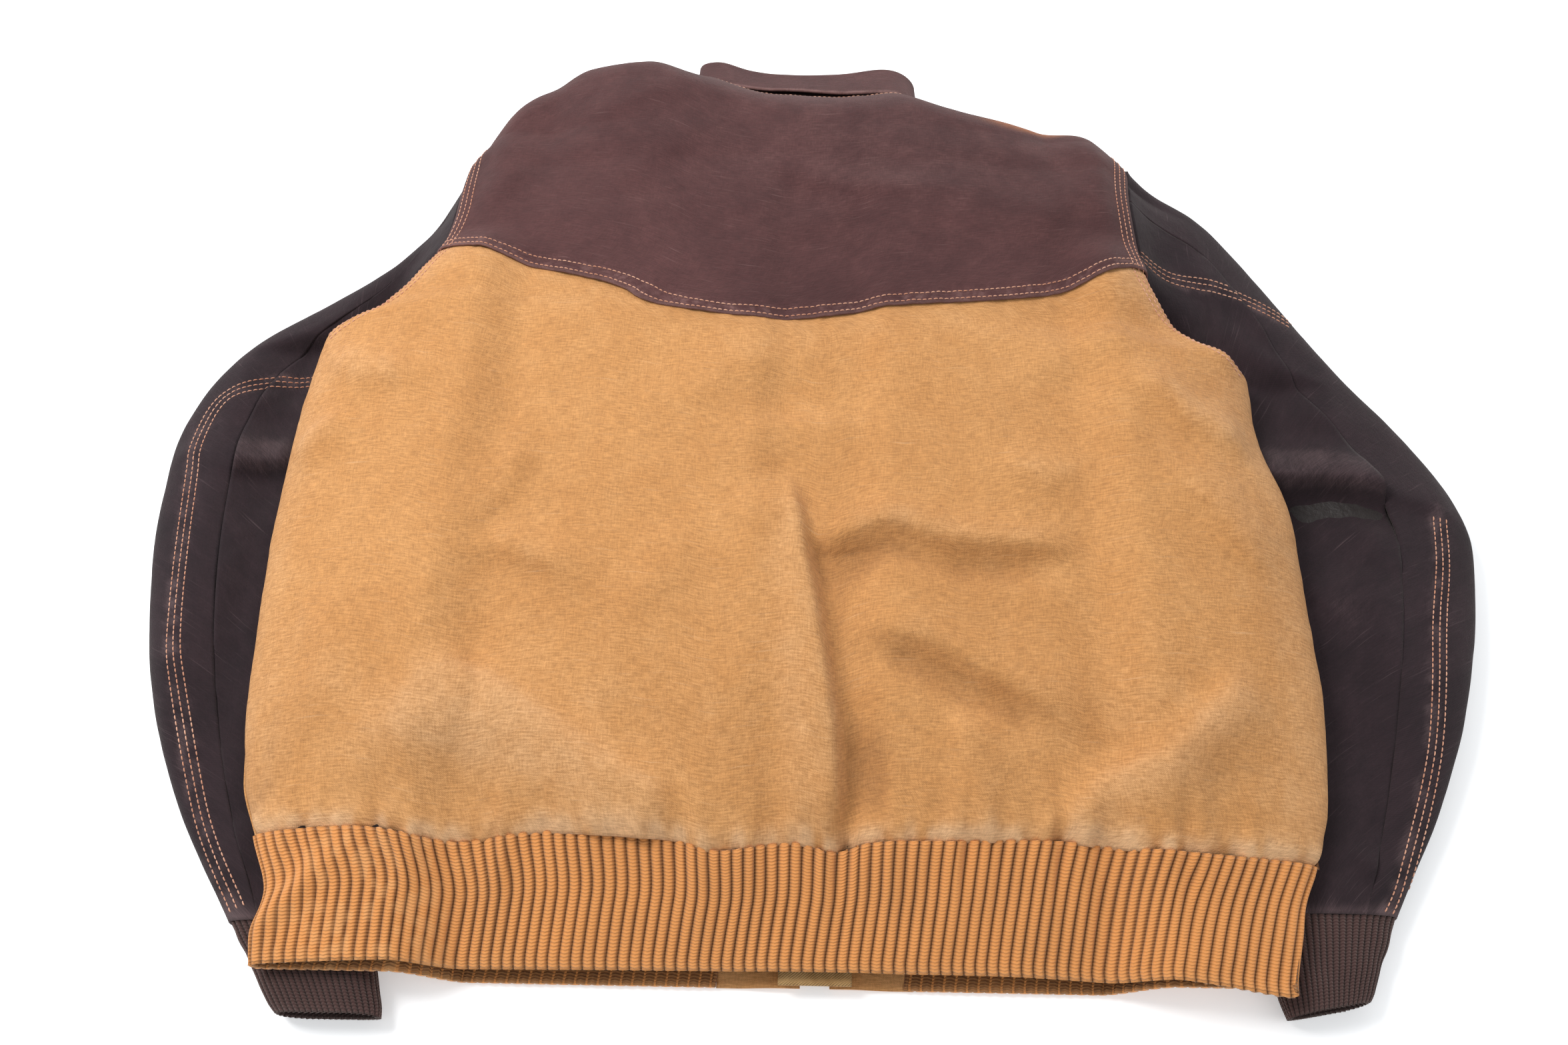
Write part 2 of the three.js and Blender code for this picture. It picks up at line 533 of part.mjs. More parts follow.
function zipPull() {
  const plate = new THREE.Shape();
  const [half, end] = [PULL.wide / 2, SLIDER_TOP - 7];
  const [narrow, foot] = [half * 0.6, end - PULL.long];
  plate.moveTo(-narrow, end).lineTo(narrow, end).lineTo(half, foot + 4);
  plate.lineTo(narrow, foot).lineTo(-narrow, foot).lineTo(-half, foot + 4);
  const hole = new THREE.Path().absellipse(0, foot + 9, 2, 4, 0, 2 * Math.PI);
  plate.holes.push(hole);
  const cut = { depth: PULL.thick, bevelEnabled: false, curveSegments: 6 };
  const pull = new THREE.ExtrudeGeometry(plate, cut);
  return pull.translate(ZIP_CENTRE, 0, SLIDER_FRONT - LAY - PULL.thick);
}

const zipBox = () =>
  box(BOX.wide, BOX.long, TOOTH.thick + 1, ZIP_CENTRE, ZIP.foot + BOX.long / 2, TAPE_Z);

const STOP = { wide: 2.2, long: 3 };
function zipStop(side) {
  const x = ZIP_CENTRE + side * (STOP.wide / 2 + LAY / 2);
  return box(STOP.wide, STOP.long, TOOTH.thick, x, SLIDER_TOP + STOP.long, TAPE_Z);
}

function zipGuard() {
  const z = ZIP_HEIGHT + DUCK + LINING_LAY + QUILT + 2 * LAY;
  const long = ZIP.top - 8 - FRONT_HEM;
  return box(2 * LINING_EDGE + 7, long, 1.2, ZIP_CENTRE, FRONT_HEM + long / 2, z + 0.6);
}

// ---------------------------------------------------------------- chest pockets and welts
const pocketCentre = (side) => ZIP_CENTRE + side * (148 * grade.x) - 8;
const pocketTop = (POCKET.foot + POCKET.deep) * grade.y;

// A flat piece with an outline in the plane of the front, between two depths below the front's skin.
function patch(shape, x, depth, thick) {
  const flat = new THREE.ExtrudeGeometry(shape, { depth: thick, bevelEnabled: false, curveSegments: 6 });
  return flat.translate(x, 0, POCKET_HEIGHT - depth - thick);
}

function pocket(side) {
  const [half, foot, top] = [POCKET.wide / 2, pocketTop - POCKET.deep, pocketTop];
  const shape = new THREE.Shape().moveTo(-half, top).lineTo(-half, foot + 14).lineTo(-half + 14, foot);
  shape.lineTo(half - 14, foot).lineTo(half, foot + 14).lineTo(half, top);
  return patch(shape, pocketCentre(side), LAY, POCKET.thick);
}

const SNAP_Y = pocketTop - FLAP.deep + 20;
const FLAP_HOLE = 3.6;
const flapDepth = LAY + POCKET.thick + LAY;
function flap(side) {
  const [half, top] = [POCKET.wide / 2 + FLAP.overlap, pocketTop + 12];
  const shape = new THREE.Shape().moveTo(-half, top).lineTo(-half, top - FLAP.deep + FLAP.point);
  shape.lineTo(0, top - FLAP.deep - 4).lineTo(half, top - FLAP.deep + FLAP.point).lineTo(half, top);
  shape.holes.push(new THREE.Path().absarc(0, SNAP_Y, FLAP_HOLE, 0, 2 * Math.PI));
  return patch(shape, pocketCentre(side), flapDepth, FLAP.thick);
}

function disc(radius, thick, side, depth) {
  const round = new THREE.CylinderGeometry(radius, radius, thick, 16).rotateX(Math.PI / 2);
  return round.translate(pocketCentre(side), SNAP_Y, POCKET_HEIGHT - depth - thick / 2);
}
const snapStud = (side) => disc(FLAP_HOLE - 0.8, SNAP.stud, side, flapDepth - 0.05);
const snapCap = (side) => disc(SNAP.radius, SNAP.cap, side, flapDepth + FLAP.thick + LAY);

// The welt of a slanted hand pocket.
function welt(side) {
  const strip = new THREE.BoxGeometry(WELT.wide, WELT.long, WELT.thick).rotateZ(side * 0.2);
  return strip.translate(pocketCentre(side) + side * 6, 170 * grade.y, POCKET_HEIGHT - LAY - WELT.thick / 2);
}

// ---------------------------------------------------------------- assembly
const jacket = new THREE.Group();
jacket.name = "duck_work_jacket";
jacket.add(
  mesh("back_panel", backPanel(), "tanDuck"),
  mesh("back_yoke", backYoke(), "brownDuck"),
  mesh("back_lining", backLining(), "quilt"),
  mesh("waistband", waistband(), "tanRib"),
  mesh("collar_stand", collarStand(), "brownDuck"),
  mesh("collar_leaf", collarLeaf(), "brownDuck"),
  mesh("hanger_loop", hangerLoop(), "brownDuck"),
  mesh("zip_slider", zipSlider(), "brass"),
  mesh("zip_pull", zipPull(), "brass"),
  mesh("zip_box", zipBox(), "brass"),
  mesh("zip_guard", zipGuard(), "tape"),
);
for (const [name, arm] of Object.entries(SLEEVES)) {
  const { side } = arm;
  const step = (2 * Math.PI) / SLEEVE_CELLS.around;
  const start = -2 * step;
  const middle = 4 * step;
  jacket.add(
    mesh(`${name}_front_panel`, frontPanel(side), "tanDuck"),
    mesh(`${name}_front_yoke`, frontYoke(side), "brownDuck"),
    mesh(`${name}_front_lining`, frontLining(side), "quilt"),
    mesh(`${name}_waist_tab`, waistTab(side), "tanDuck"),
    mesh(`${name}_sleeve_top`, sleevePanel(arm, start, middle), "brownDuck"),
    mesh(`${name}_sleeve_under`, sleevePanel(arm, middle, start + 2 * Math.PI), "brownDuck"),
    mesh(`${name}_sleeve_lining`, sleeveLining(arm), "quilt"),
    mesh(`${name}_cuff`, cuff(arm), "brownRib"),
    mesh(`${name}_zip_tape`, zipTape(side), "tape"),
    mesh(`${name}_zip_teeth`, zipTeeth(side), "brass"),
    mesh(`${name}_zip_stop`, zipStop(side), "brass"),
    mesh(`${name}_pocket`, pocket(side), "tanDuck"),
    mesh(`${name}_pocket_flap`, flap(side), "brownDuck"),
    mesh(`${name}_snap_stud`, snapStud(side), "brass"),
    mesh(`${name}_snap_cap`, snapCap(side), "brass"),
    mesh(`${name}_hand_welt`, welt(side), "brownDuck"),
  );
}

const bounds = new THREE.Box3().setFromObject(jacket);
const middle = bounds.getCenter(new THREE.Vector3());
for (const piece of jacket.children) piece.geometry.translate(-middle.x, -middle.y, -bounds.min.z);
export default jacket;
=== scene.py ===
# A two-tone cotton duck work jacket lying face down, with its sleeves folded down along its sides.
# The cloth is drawn in millimetres, with the back's hem at y = 0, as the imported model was, and then
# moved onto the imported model's frame, which is in metres.
import math
import bpy
import numpy as np
from mathutils import Matrix, Vector
from mathutils.bvhtree import BVHTree


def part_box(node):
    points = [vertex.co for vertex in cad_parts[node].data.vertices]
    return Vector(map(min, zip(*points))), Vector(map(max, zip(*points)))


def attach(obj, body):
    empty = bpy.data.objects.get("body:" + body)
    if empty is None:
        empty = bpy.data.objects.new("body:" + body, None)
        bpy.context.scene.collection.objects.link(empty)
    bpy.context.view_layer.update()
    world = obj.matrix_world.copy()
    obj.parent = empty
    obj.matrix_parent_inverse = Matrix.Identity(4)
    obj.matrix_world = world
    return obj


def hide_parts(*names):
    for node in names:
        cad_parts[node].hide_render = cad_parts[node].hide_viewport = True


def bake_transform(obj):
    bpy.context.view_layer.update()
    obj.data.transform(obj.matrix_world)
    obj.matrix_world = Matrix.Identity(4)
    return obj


SIDES = ((-1, "left"), (1, "right"))

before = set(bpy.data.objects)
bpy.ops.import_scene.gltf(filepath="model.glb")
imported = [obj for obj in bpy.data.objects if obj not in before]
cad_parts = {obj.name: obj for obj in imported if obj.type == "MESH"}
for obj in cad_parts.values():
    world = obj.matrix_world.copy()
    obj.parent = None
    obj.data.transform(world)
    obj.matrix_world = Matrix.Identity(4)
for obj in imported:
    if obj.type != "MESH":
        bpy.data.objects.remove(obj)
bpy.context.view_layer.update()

# ---------------------------------------------------------------- driving dimensions, in millimetres
ZIP_CENTRE = 20.0
LOFT = 86.0
WAISTBAND = 74.0
RIM = 8.6
SLEEVE_LOFT = 25.0
SLEEVE_PUFF = 14.0
UNDERLAP = SLEEVE_LOFT + 0.9
ZIP_HEIGHT = 3.0
TEETH_DEEP = 2.4
LAYER = 0.35
POCKET_HEIGHT = 9.0
WAIST_RIBS, RIB_PITCH, WAIST_RIB_HIGH = 168, 7.2, 2.7
CUFF_RIBS, CUFF_PITCH, CUFF_RIB_HIGH, CUFF_LONG = 44, 4.6, 1.1, 58.0
BACK_THICK, FRONT_THICK, SLEEVE_THICK, SLEEVE_QUILT_THICK, TAB_THICK = 1.6, 1.4, 1.5, 1.4, 1.8
WAIST_THICK, CUFF_THICK, STAND_THICK, LEAF_THICK = 2.4, 2.0, 1.6, 1.7
THREAD = 0.42
STITCH, STITCH_GAP = 3.1, 0.9

# The zip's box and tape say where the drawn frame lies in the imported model's frame.
ZIP_BOX_FOOT = 4.0
TAPE_BACK = ZIP_HEIGHT + TEETH_DEEP + LAYER
zip_low, zip_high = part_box("zip_box")
tape_low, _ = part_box("left_zip_tape")
ORIGIN = np.array([
    (zip_low.x + zip_high.x) * 500 - ZIP_CENTRE,
    zip_low.y * 1000 - ZIP_BOX_FOOT,
    tape_low.z * 1000 - TAPE_BACK,
])


def metres(points):
    return (np.asarray(points, float) + ORIGIN) / 1000


# ---------------------------------------------------------------- curves and noise
def profile(*knots):
    """A smooth curve through (input, output) knots that never overshoots between them."""
    x, y = np.array(knots, float).T
    width, slope = np.diff(x), np.diff(y) / np.diff(x)
    tangent = np.r_[slope[0], np.zeros(len(x) - 2), slope[-1]]
    both = slope[:-1] * slope[1:] > 0
    total = np.where(both, slope[:-1] + slope[1:], 1)
    tangent[1:-1] = np.where(both, 2 * slope[:-1] * slope[1:] / total, 0)

    def at(value):
        value = np.clip(np.asarray(value, float), x[0], x[-1])
        i = np.clip(np.searchsorted(x, value, side="right") - 1, 0, len(width) - 1)
        t = (value - x[i]) / width[i]
        return (
            y[i] * (1 + 2 * t) * (1 - t) ** 2
            + y[i + 1] * t * t * (3 - 2 * t)
            + width[i] * t * (1 - t) * (tangent[i] * (1 - t) - tangent[i + 1] * t)
        )

    return at


def lerp(a, b, t):
    return a + (b - a) * t


def smoothstep(x, low, high):
    t = np.clip((np.asarray(x, float) - low) / (high - low), 0, 1)
    return t * t * (3 - 2 * t)


def bell(distance, width):
    """1 at no distance, falling smoothly to almost nothing at twice the width."""
    return np.exp(-((distance / width) ** 2))


def spot(dx, wide, dy, high):
    """A bell in two directions."""
    return np.exp(-((dx / wide) ** 2) - ((dy / high) ** 2))


def noise(x, y, size, seed):
    """Smooth noise from -1 to 1 over the plane, with features of the given size."""
    table = np.random.default_rng(seed).uniform(-1, 1, (128, 128))
    x, y = np.broadcast_arrays(np.asarray(x, float) / size, np.asarray(y, float) / size)
    i, j = np.floor(x).astype(int), np.floor(y).astype(int)
    fx, fy = x - i, y - j
    fx, fy = fx**3 * (fx * (6 * fx - 15) + 10), fy**3 * (fy * (6 * fy - 15) + 10)
    at = lambda a, b: table[a % 128, b % 128]
    return lerp(
        lerp(at(i, j), at(i + 1, j), fx), lerp(at(i, j + 1), at(i + 1, j + 1), fx), fy
    )


def crease(x, y, path, height, left, right, taper=0.25):
    """A fold along a path: its height falls off over the widths to its left and right, and at its ends."""
    path = np.array(path, float)
    lengths = np.hypot(*np.diff(path, axis=0).T)
    total, before = lengths.sum(), np.r_[0, np.cumsum(lengths)]
    best = np.full(np.shape(x), 1e9)
    side, along = np.ones(np.shape(x)), np.zeros(np.shape(x))
    for k, (a, b) in enumerate(zip(path[:-1], path[1:])):
        d = (b - a) / lengths[k]
        t = np.clip((x - a[0]) * d[0] + (y - a[1]) * d[1], 0, lengths[k])
        ox, oy = x - a[0] - d[0] * t, y - a[1] - d[1] * t
        dist = np.hypot(ox, oy)
        near = dist < best
        best = np.where(near, dist, best)
        side = np.where(near, d[0] * oy - d[1] * ox, side)
        along = np.where(near, (before[k] + t) / total, along)
    width = np.where(side > 0, left, right)
    ends = smoothstep(along, 0, taper) * smoothstep(1 - along, 0, taper) if taper else 1
    return height * bell(best, width) * ends


# ---------------------------------------------------------------- body outlines
left_side = profile(
    (0, -317), (40, -316), (74, -329), (112, -345), (190, -354), (300, -361), (420, -356),
    (452, -354), (470, -316), (490, -290), (522, -273), (565, -264), (642, -264),
)
right_side = profile(
    (0, 304), (40, 314), (74, 327), (112, 338), (200, 348), (300, 348), (395, 336),
    (428, 337), (444, 310), (466, 283), (506, 262), (572, 258), (650, 267),
)
yoke_seam = profile(
    (-1, 522), (-0.72, 498), (-0.41, 475), (-0.2, 453), (-0.01, 443), (0.25, 454), (0.64, 472), (1, 506)
)
shoulder_line = profile(
    (-1, 642), (-0.93, 674), (-0.79, 724), (-0.65, 747), (-0.48, 748), (-0.29, 725), (-0.08, 705),
    (0.1, 702), (0.32, 712), (0.52, 699), (0.66, 691), (0.82, 677), (1, 650),
)
hem_seam = profile(
    (-1, 74), (-0.8, 76), (-0.64, 70), (-0.43, 77), (-0.22, 74), (-0.12, 67), (0.02, 74), (0.1, 69),
    (0.16, 74), (0.3, 75), (0.5, 77), (0.75, 69), (1, 67),
)
back_hem = profile((-1, -1), (-0.7, 2), (0.4, 4), (0.75, 0), (1, -9))
front_yoke_seam = profile((-1, 486), (-0.5, 455), (-0.1, 492), (0.1, 492), (0.5, 452), (1, 470))
NECK_X, NECK_HALF, NECK_FRONT, NECK_DROP = 5.0, 88.0, 632.0, 78.0

side_lift = profile((0, UNDERLAP), (494, UNDERLAP), (540, 12), (600, 12), (640, 20))
pocket_lift = profile((0, 0), (74, 1), (540, 1), (600, 0.2))
loft_share = profile(
    (0, 0.21), (40, 0.34), (74, 0.49), (112, 0.65), (180, 0.84), (280, 0.96), (420, 1),
    (520, 1.02), (620, 1.06), (700, 0.98),
)
hump_rise = profile((560, 0), (680, 1))
armhole_gap = profile((452, 0), (490, 28), (560, 40), (610, 30), (641, 0))
roundness = profile((430, 0.85), (520, 0.75))
SHOULDER_ROLL, SHOULDER_LAYERS, RIM_TURN, NECK_FALL = 54.0, 6.4, 0.3, 0.36
# The left shoulder stands higher than the right.
HUMP_SHARE, HUMP_X, HUMP_WIDE = 0.14, -140, 80


def centre(y):
    return (left_side(y) + right_side(y)) / 2


def half_width(y):
    return (right_side(y) - left_side(y)) / 2


def share_at(x, y):
    return np.clip((x - centre(y)) / half_width(y), -1, 1)


def front_neck(x):
    return NECK_FRONT + NECK_DROP * ((x - NECK_X) / NECK_HALF) ** 2


def underside(x, y):
    away = smoothstep(np.abs(x - ZIP_CENTRE), 22, 50)
    middle = lerp(ZIP_HEIGHT, POCKET_HEIGHT * pocket_lift(y), away)
    return lerp(middle, side_lift(y), smoothstep(np.abs(x), 192, 236))


def loft(share, x, y):
    roll = np.clip((y - shoulder_line(share) + SHOULDER_ROLL) / SHOULDER_ROLL, 0, 1)
    neck = 1 - smoothstep(np.abs(x - NECK_X), NECK_HALF - 16, NECK_HALF + 24)
    shoulder = lerp(np.sqrt(1 - roll * roll), 1 - NECK_FALL * roll * roll, neck)
    hump = HUMP_SHARE * bell(x - HUMP_X, HUMP_WIDE) * hump_rise(y)
    return np.maximum(LOFT * (loft_share(y) + hump) * shoulder, SHOULDER_LAYERS)


def back_height(x, y, share, inset=0.0):
    up = np.sqrt(np.maximum(0, 1 - share**2))
    gap = armhole_gap(y)
    fold = underside(x, y) + RIM
    return fold + gap + (loft(share, x, y) - RIM - gap - inset) * up ** roundness(y)


def front_height(x, y, share, inset=0.0):
    up = np.sqrt(np.maximum(0, 1 - share**2))
    turned = 1 - np.minimum(1, up / RIM_TURN)
    return underside(x, y) + RIM - (RIM - inset) * np.sqrt(np.maximum(0, 1 - turned**2))


# ---------------------------------------------------------------- folds of the back
# Each fold: its path in plan, its height, its widths to the left and right of the way it runs, and the
# share of its length over which each end dies away.
BACK_FOLDS = [
    ([(-6, 322), (3, 285), (17, 208), (27, 144), (34, 66)], 9.0, 7, 34, 0.16),
    ([(14, 296), (24, 240), (38, 150), (44, 66)], -3.8, 26, 9, 0.2),
    ([(3, 290), (28, 268), (62, 280), (106, 266), (198, 264)], 5.5, 16, 9, 0.2),
    ([(8, 272), (32, 252), (66, 262), (112, 250), (190, 250)], -3.5, 9, 14, 0.25),
    ([(28, 213), (80, 201), (117, 183), (167, 157), (207, 130)], 6.0, 26, 9, 0.3),
    ([(40, 196), (84, 186), (120, 168), (165, 140)], -4.0, 8, 18, 0.3),
    ([(-243, 177), (-190, 163), (-141, 132), (-84, 99), (-55, 68)], 8.0, 14, 40, 0.2),
    ([(-225, 256), (-190, 262), (-154, 248), (-123, 224)], 5.0, 16, 10, 0.4),
    ([(-228, 262), (-196, 300), (-187, 326), (-202, 362)], 4.5, 20, 12, 0.4),
    ([(168, 70), (178, 92), (200, 112), (232, 122), (272, 159), (292, 190)], 7.0, 12, 26, 0.2),
    ([(111, 68), (116, 119), (108, 158)], 4.5, 10, 22, 0.25),
    ([(228, 412), (270, 369), (324, 345)], 6.0, 24, 12, 0.3),
    ([(262, 470), (290, 446), (330, 422)], 5.0, 14, 10, 0.3),
    ([(-120, 350), (-50, 397), (43, 424)], 4.0, 30, 22, 0.45),
    ([(-60, 332), (2, 353), (78, 352)], 3.5, 12, 22, 0.45),
    ([(-352, 330), (-330, 350), (-300, 366)], 4.5, 12, 18, 0.35),
    ([(-346, 436), (-301, 400), (-238, 386)], 5.0, 18, 14, 0.4),
    ([(-300, 112), (-225, 142), (-160, 120)], 5.0, 30, 24, 0.4),
    ([(-310, 240), (-290, 180), (-300, 120)], 4.0, 22, 18, 0.4),
    ([(230, 330), (280, 300), (322, 240)], 4.5, 26, 16, 0.4),
    ([(150, 400), (200, 420), (240, 455)], 3.5, 22, 16, 0.4),
    ([(120, 330), (170, 318), (214, 330)], 3.0, 16, 14, 0.4),
    ([(-120, 200), (-84, 236), (-60, 290)], 3.0, 22, 16, 0.45),
]
# Tucks where the hem is gathered: place along the hem, height and width.
TUCKS = [
    (-286, 2.2, 5), (-250, -1.6, 7), (-196, 2.4, 6), (-172, 3.4, 6), (-150, -1.8, 8), (-66, -2.6, 7),
    (-52, 3.4, 8), (-20, 2.0, 5), (8, 3.6, 8), (24, 3.0, 5), (36, -3.8, 4.5), (48, 3.6, 6),
    (84, 2.0, 6), (104, 3.6, 6), (112, -2.8, 4), (124, 2.6, 6), (160, 3.0, 6), (169, -2.8, 4),
    (182, 3.0, 7), (214, 1.8, 6), (243, -3.0, 5), (252, 3.2, 7), (284, 1.6, 6), (-226, 2.0, 6),
    (-116, 1.8, 7), (66, 1.8, 5), (141, 1.6, 5), (-306, 1.8, 5),
]


def tuck_height(x, from_hem, reach):
    total = 0
    for place, height, width in TUCKS:
        total = total + height * bell(x - place, width)
    return total * bell(from_hem, reach)


def undulation(x, y, seed, big=2.6, middle=1.1, small=0.3):
    skew = x + 0.35 * y
    return (
        big * noise(skew, y, 95, seed)
        + middle * noise(x, y * 0.8, 42, seed + 1)
        + small * noise(x, y, 14, seed + 2)
        + 0.1 * noise(x, y, 5, seed + 3)
    )


def fold_height(x, y, folds):
    total = 0
    for path, height, left, right, taper in folds:
        total = total + crease(x, y, path, height, left, right, taper)
    return total


def pucker(along, away, size, height, reach, seed):
    """The small gathers that run square to a seam."""
    wave = noise(along, away * 0.15, size, seed) + 0.6 * noise(along, away * 0.2, size * 0.45, seed + 1)
    return height * wave * bell(away, reach)


# ---------------------------------------------------------------- meshes
def normals(points):
    across = np.gradient(points, axis=1)
    along = np.gradient(points, axis=0)
    normal = np.cross(across, along)
    return normal / np.maximum(np.linalg.norm(normal, axis=2, keepdims=True), 1e-9)


def make_mesh(name, vertices, faces, uvs=None, layers=None, material=None, smooth=True):
    data = bpy.data.meshes.new(name)
    data.from_pydata([], [], [])
    data.vertices.add(len(vertices))
    data.vertices.foreach_set("co", np.asarray(vertices, np.float32).ravel())
    faces = np.asarray(faces, np.int32)
    sides = faces.shape[1]
    data.loops.add(faces.size)
    data.loops.foreach_set("vertex_index", faces.ravel())
    data.polygons.add(len(faces))
    data.polygons.foreach_set("loop_start", np.arange(0, faces.size, sides, dtype=np.int32))
    data.polygons.foreach_set("use_smooth", np.full(len(faces), smooth))
    if uvs is not None:
        layer = data.uv_layers.new(name="UVMap")
        layer.data.foreach_set("uv", np.asarray(uvs, np.float32)[faces.ravel()].ravel())
    for key, values in (layers or {}).items():
        layer = data.attributes.new(key, "FLOAT", "POINT")
        layer.data.foreach_set("value", np.asarray(values, np.float32).ravel())
    data.update(calc_edges=True)
    data.validate()
    piece = bpy.data.objects.new(name, data)
    bpy.context.scene.collection.objects.link(piece)
    if material:
        data.materials.append(material)
    return piece


def grid_faces(rows, columns, wrap=False):
    r = np.arange(rows - 1)[:, None]
    c = np.arange(columns if wrap else columns - 1)[None, :]
    n = (c + 1) % columns
    quads = np.stack([r * columns + c, r * columns + n, (r + 1) * columns + n, (r + 1) * columns + c], -1)
    return quads.reshape(-1, 4)


def cloth(name, points, uvs, thickness, material, wrap=False, flip=False, **layers):
    """A sheet with both faces and its edges, from a grid of points on its outer face."""
    rows, columns = points.shape[:2]
    outward = normals(points)
    if wrap:
        padded = np.concatenate([points[:, -2:], points, points[:, :2]], axis=1)
        outward = normals(padded)[:, 2:-2]
    if flip:
        outward = -outward
    inner = points - outward * thickness
    outer_faces = grid_faces(rows, columns, wrap)
    count = rows * columns
    top, bottom = np.arange(columns), np.arange(columns) + (rows - 1) * columns
    rims = []
    for line, turn in ((top, 1), (bottom, -1)):
        a, b = (line, np.roll(line, -1)) if wrap else (line[:-1], line[1:])
        rims.append(np.stack([a, a + count, b + count, b][::turn], -1))
    if not wrap:
        left, right = np.arange(rows) * columns, np.arange(rows) * columns + columns - 1
        for line, turn in ((left, -1), (right, 1)):
            a, b = line[:-1], line[1:]
            rims.append(np.stack([a, a + count, b + count, b][::turn], -1))
    faces = np.concatenate([outer_faces, outer_faces[:, ::-1] + count, *rims])
    if flip:
        faces = faces[:, ::-1]
    vertices = metres(np.concatenate([points.reshape(-1, 3), inner.reshape(-1, 3)]))
    uvs = np.concatenate([uvs.reshape(-1, 2)] * 2) / 1000
    both = lambda layer: np.tile(np.ravel(np.broadcast_to(layer, (rows, columns))), 2)
    layers = {key: both(layer) for key, layer in layers.items()}
    return make_mesh(name, vertices, faces, uvs, layers, material)


def even(function, count, samples=400):
    """Values of a parameter from 0 to 1 that are evenly spaced along a curve of points."""
    t = np.linspace(0, 1, samples)
    length = np.r_[0, np.cumsum(np.linalg.norm(np.diff(function(t), axis=0), axis=1))]
    return np.interp(np.linspace(0, length[-1], count), length, t)


def measure(points, wrap=False):
    """The flat width, length and area of a grid of points, in metres."""
    ring = np.concatenate([points, points[:, :1]], axis=1) if wrap else points
    across = np.linalg.norm(np.diff(ring, axis=1), axis=2)
    down = np.linalg.norm(np.diff(ring, axis=0), axis=2)
    diagonals = ring[1:, 1:] - ring[:-1, :-1], ring[1:, :-1] - ring[:-1, 1:]
    area = np.linalg.norm(np.cross(*diagonals), axis=2).sum() / 2e6
    return across.sum(1).max() / 1000, down.sum(0).max() / 1000, area


def flat_uv(points):
    """Texture coordinates in millimetres that follow the cloth across and down."""
    across = np.linalg.norm(np.diff(points, axis=1), axis=2)
    down = np.linalg.norm(np.diff(points, axis=0), axis=2)
    u = np.concatenate([np.zeros((len(points), 1)), np.cumsum(across, 1)], 1)
    u = u - u[:, u.shape[1] // 2][:, None]
    v = np.concatenate([np.zeros((1, points.shape[1])), np.cumsum(down, 0)], 0)
    middle = v[:, v.shape[1] // 2][:, None]
    return np.stack([u, np.broadcast_to(lerp(middle, v, 0.5), u.shape)], -1)


def lay(piece, points, node, body="torso", wrap=False):
    """Attaches a piece of cloth to its body, if it has one, and hides the CAD node it stands for; its cut
    size is measured but not kept.
    """
    width, length, area = measure(points, wrap)
    if body:
        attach(piece, body)
    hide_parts(node)


# ---------------------------------------------------------------- materials
class Nodes:
    """A short way to write a material's nodes."""

    def __init__(self, name):
        self.material = bpy.data.materials.new(name)
        self.material.use_nodes = True
        self.tree = self.material.node_tree
        self.shader = self.tree.nodes["Principled BSDF"]

    def set(self, socket, value):
        if hasattr(value, "links"):
            self.tree.links.new(value, socket)
        else:
            socket.default_value = value

    def node(self, kind, inputs=(), output=0, **settings):
        made = self.tree.nodes.new("ShaderNode" + kind)
        for key, value in settings.items():
            setattr(made, key, value)
        for key, value in dict(inputs).items():
            self.set(made.inputs[key], value)
        return made.outputs[output]

    def math(self, operation, a, b=0.0):
        return self.node("Math", {0: a, 1: b}, operation=operation)

    def add(self, a, b):
        return self.math("ADD", a, b)

    def times(self, a, b):
        return self.math("MULTIPLY", a, b)

    def vary(self, value, amount):
        """A value round a half, as a value round nothing."""
        return self.times(self.math("SUBTRACT", value, 0.5), amount)

    def attribute(self, name):
        return self.node("Attribute", output="Fac", attribute_name=name)

    def noise(self, where, scale, detail=3.0, roughness=0.55, distortion=0.0):
        return self.node("TexNoise", {
            "Vector": where, "Scale": scale, "Detail": detail,
            "Roughness": roughness, "Distortion": distortion,
        }, output="Fac")

    def stretch(self, where, x, y, z=1.0, turn=0.0):
        return self.node("Mapping", {"Vector": where, "Scale": (x, y, z), "Rotation": (0, 0, turn)})

    def ramp(self, value, low, high, to_low=0.0, to_high=1.0):
        sockets = {"Value": value, 1: low, 2: high, 3: to_low, 4: to_high}
        return self.node("MapRange", sockets, interpolation_type="SMOOTHSTEP")

    def mix(self, factor, a, b, blend="MIX"):
        made = self.tree.nodes.new("ShaderNodeMix")
        made.data_type, made.blend_type = "RGBA", blend
        self.set(made.inputs["Factor"], factor)
        self.set(made.inputs["A"], a)
        self.set(made.inputs["B"], b)
        return made.outputs["Result"]

    def uv(self):
        return self.node("TexCoord", output="UV")

    def place(self):
        return self.node("TexCoord", output="Object")

    def finish(self, color, roughness, height=None, depth=0.0005, sheen=0.0, tint=None):
        self.set(self.shader.inputs["Base Color"], color)
        self.set(self.shader.inputs["Roughness"], roughness)
        self.shader.inputs["Specular IOR Level"].default_value = 0.25
        if sheen:
            self.shader.inputs["Sheen Weight"].default_value = sheen
            self.shader.inputs["Sheen Roughness"].default_value = 0.5
            self.shader.inputs["Sheen Tint"].default_value = tint or (1, 1, 1, 1)
        if height is not None:
            normal = self.node("Bump", {"Height": height, "Distance": depth, "Strength": 1.0})
            self.set(self.shader.inputs["Normal"], normal)
        return self.material


def linear(red, green, blue):
    """A colour from 0 to 255 as it looks on screen, as light."""
    value = np.array([red, green, blue]) / 255
    return (*np.where(value > 0.04045, ((value + 0.055) / 1.055) ** 2.4, value / 12.92), 1.0)


# The weave's turn per metre in radians, and the height of one course of knitting in metres.
WARP_TURNS, WEFT_TURNS, KNIT_COURSE = 5200.0, 6300.0, 0.0019


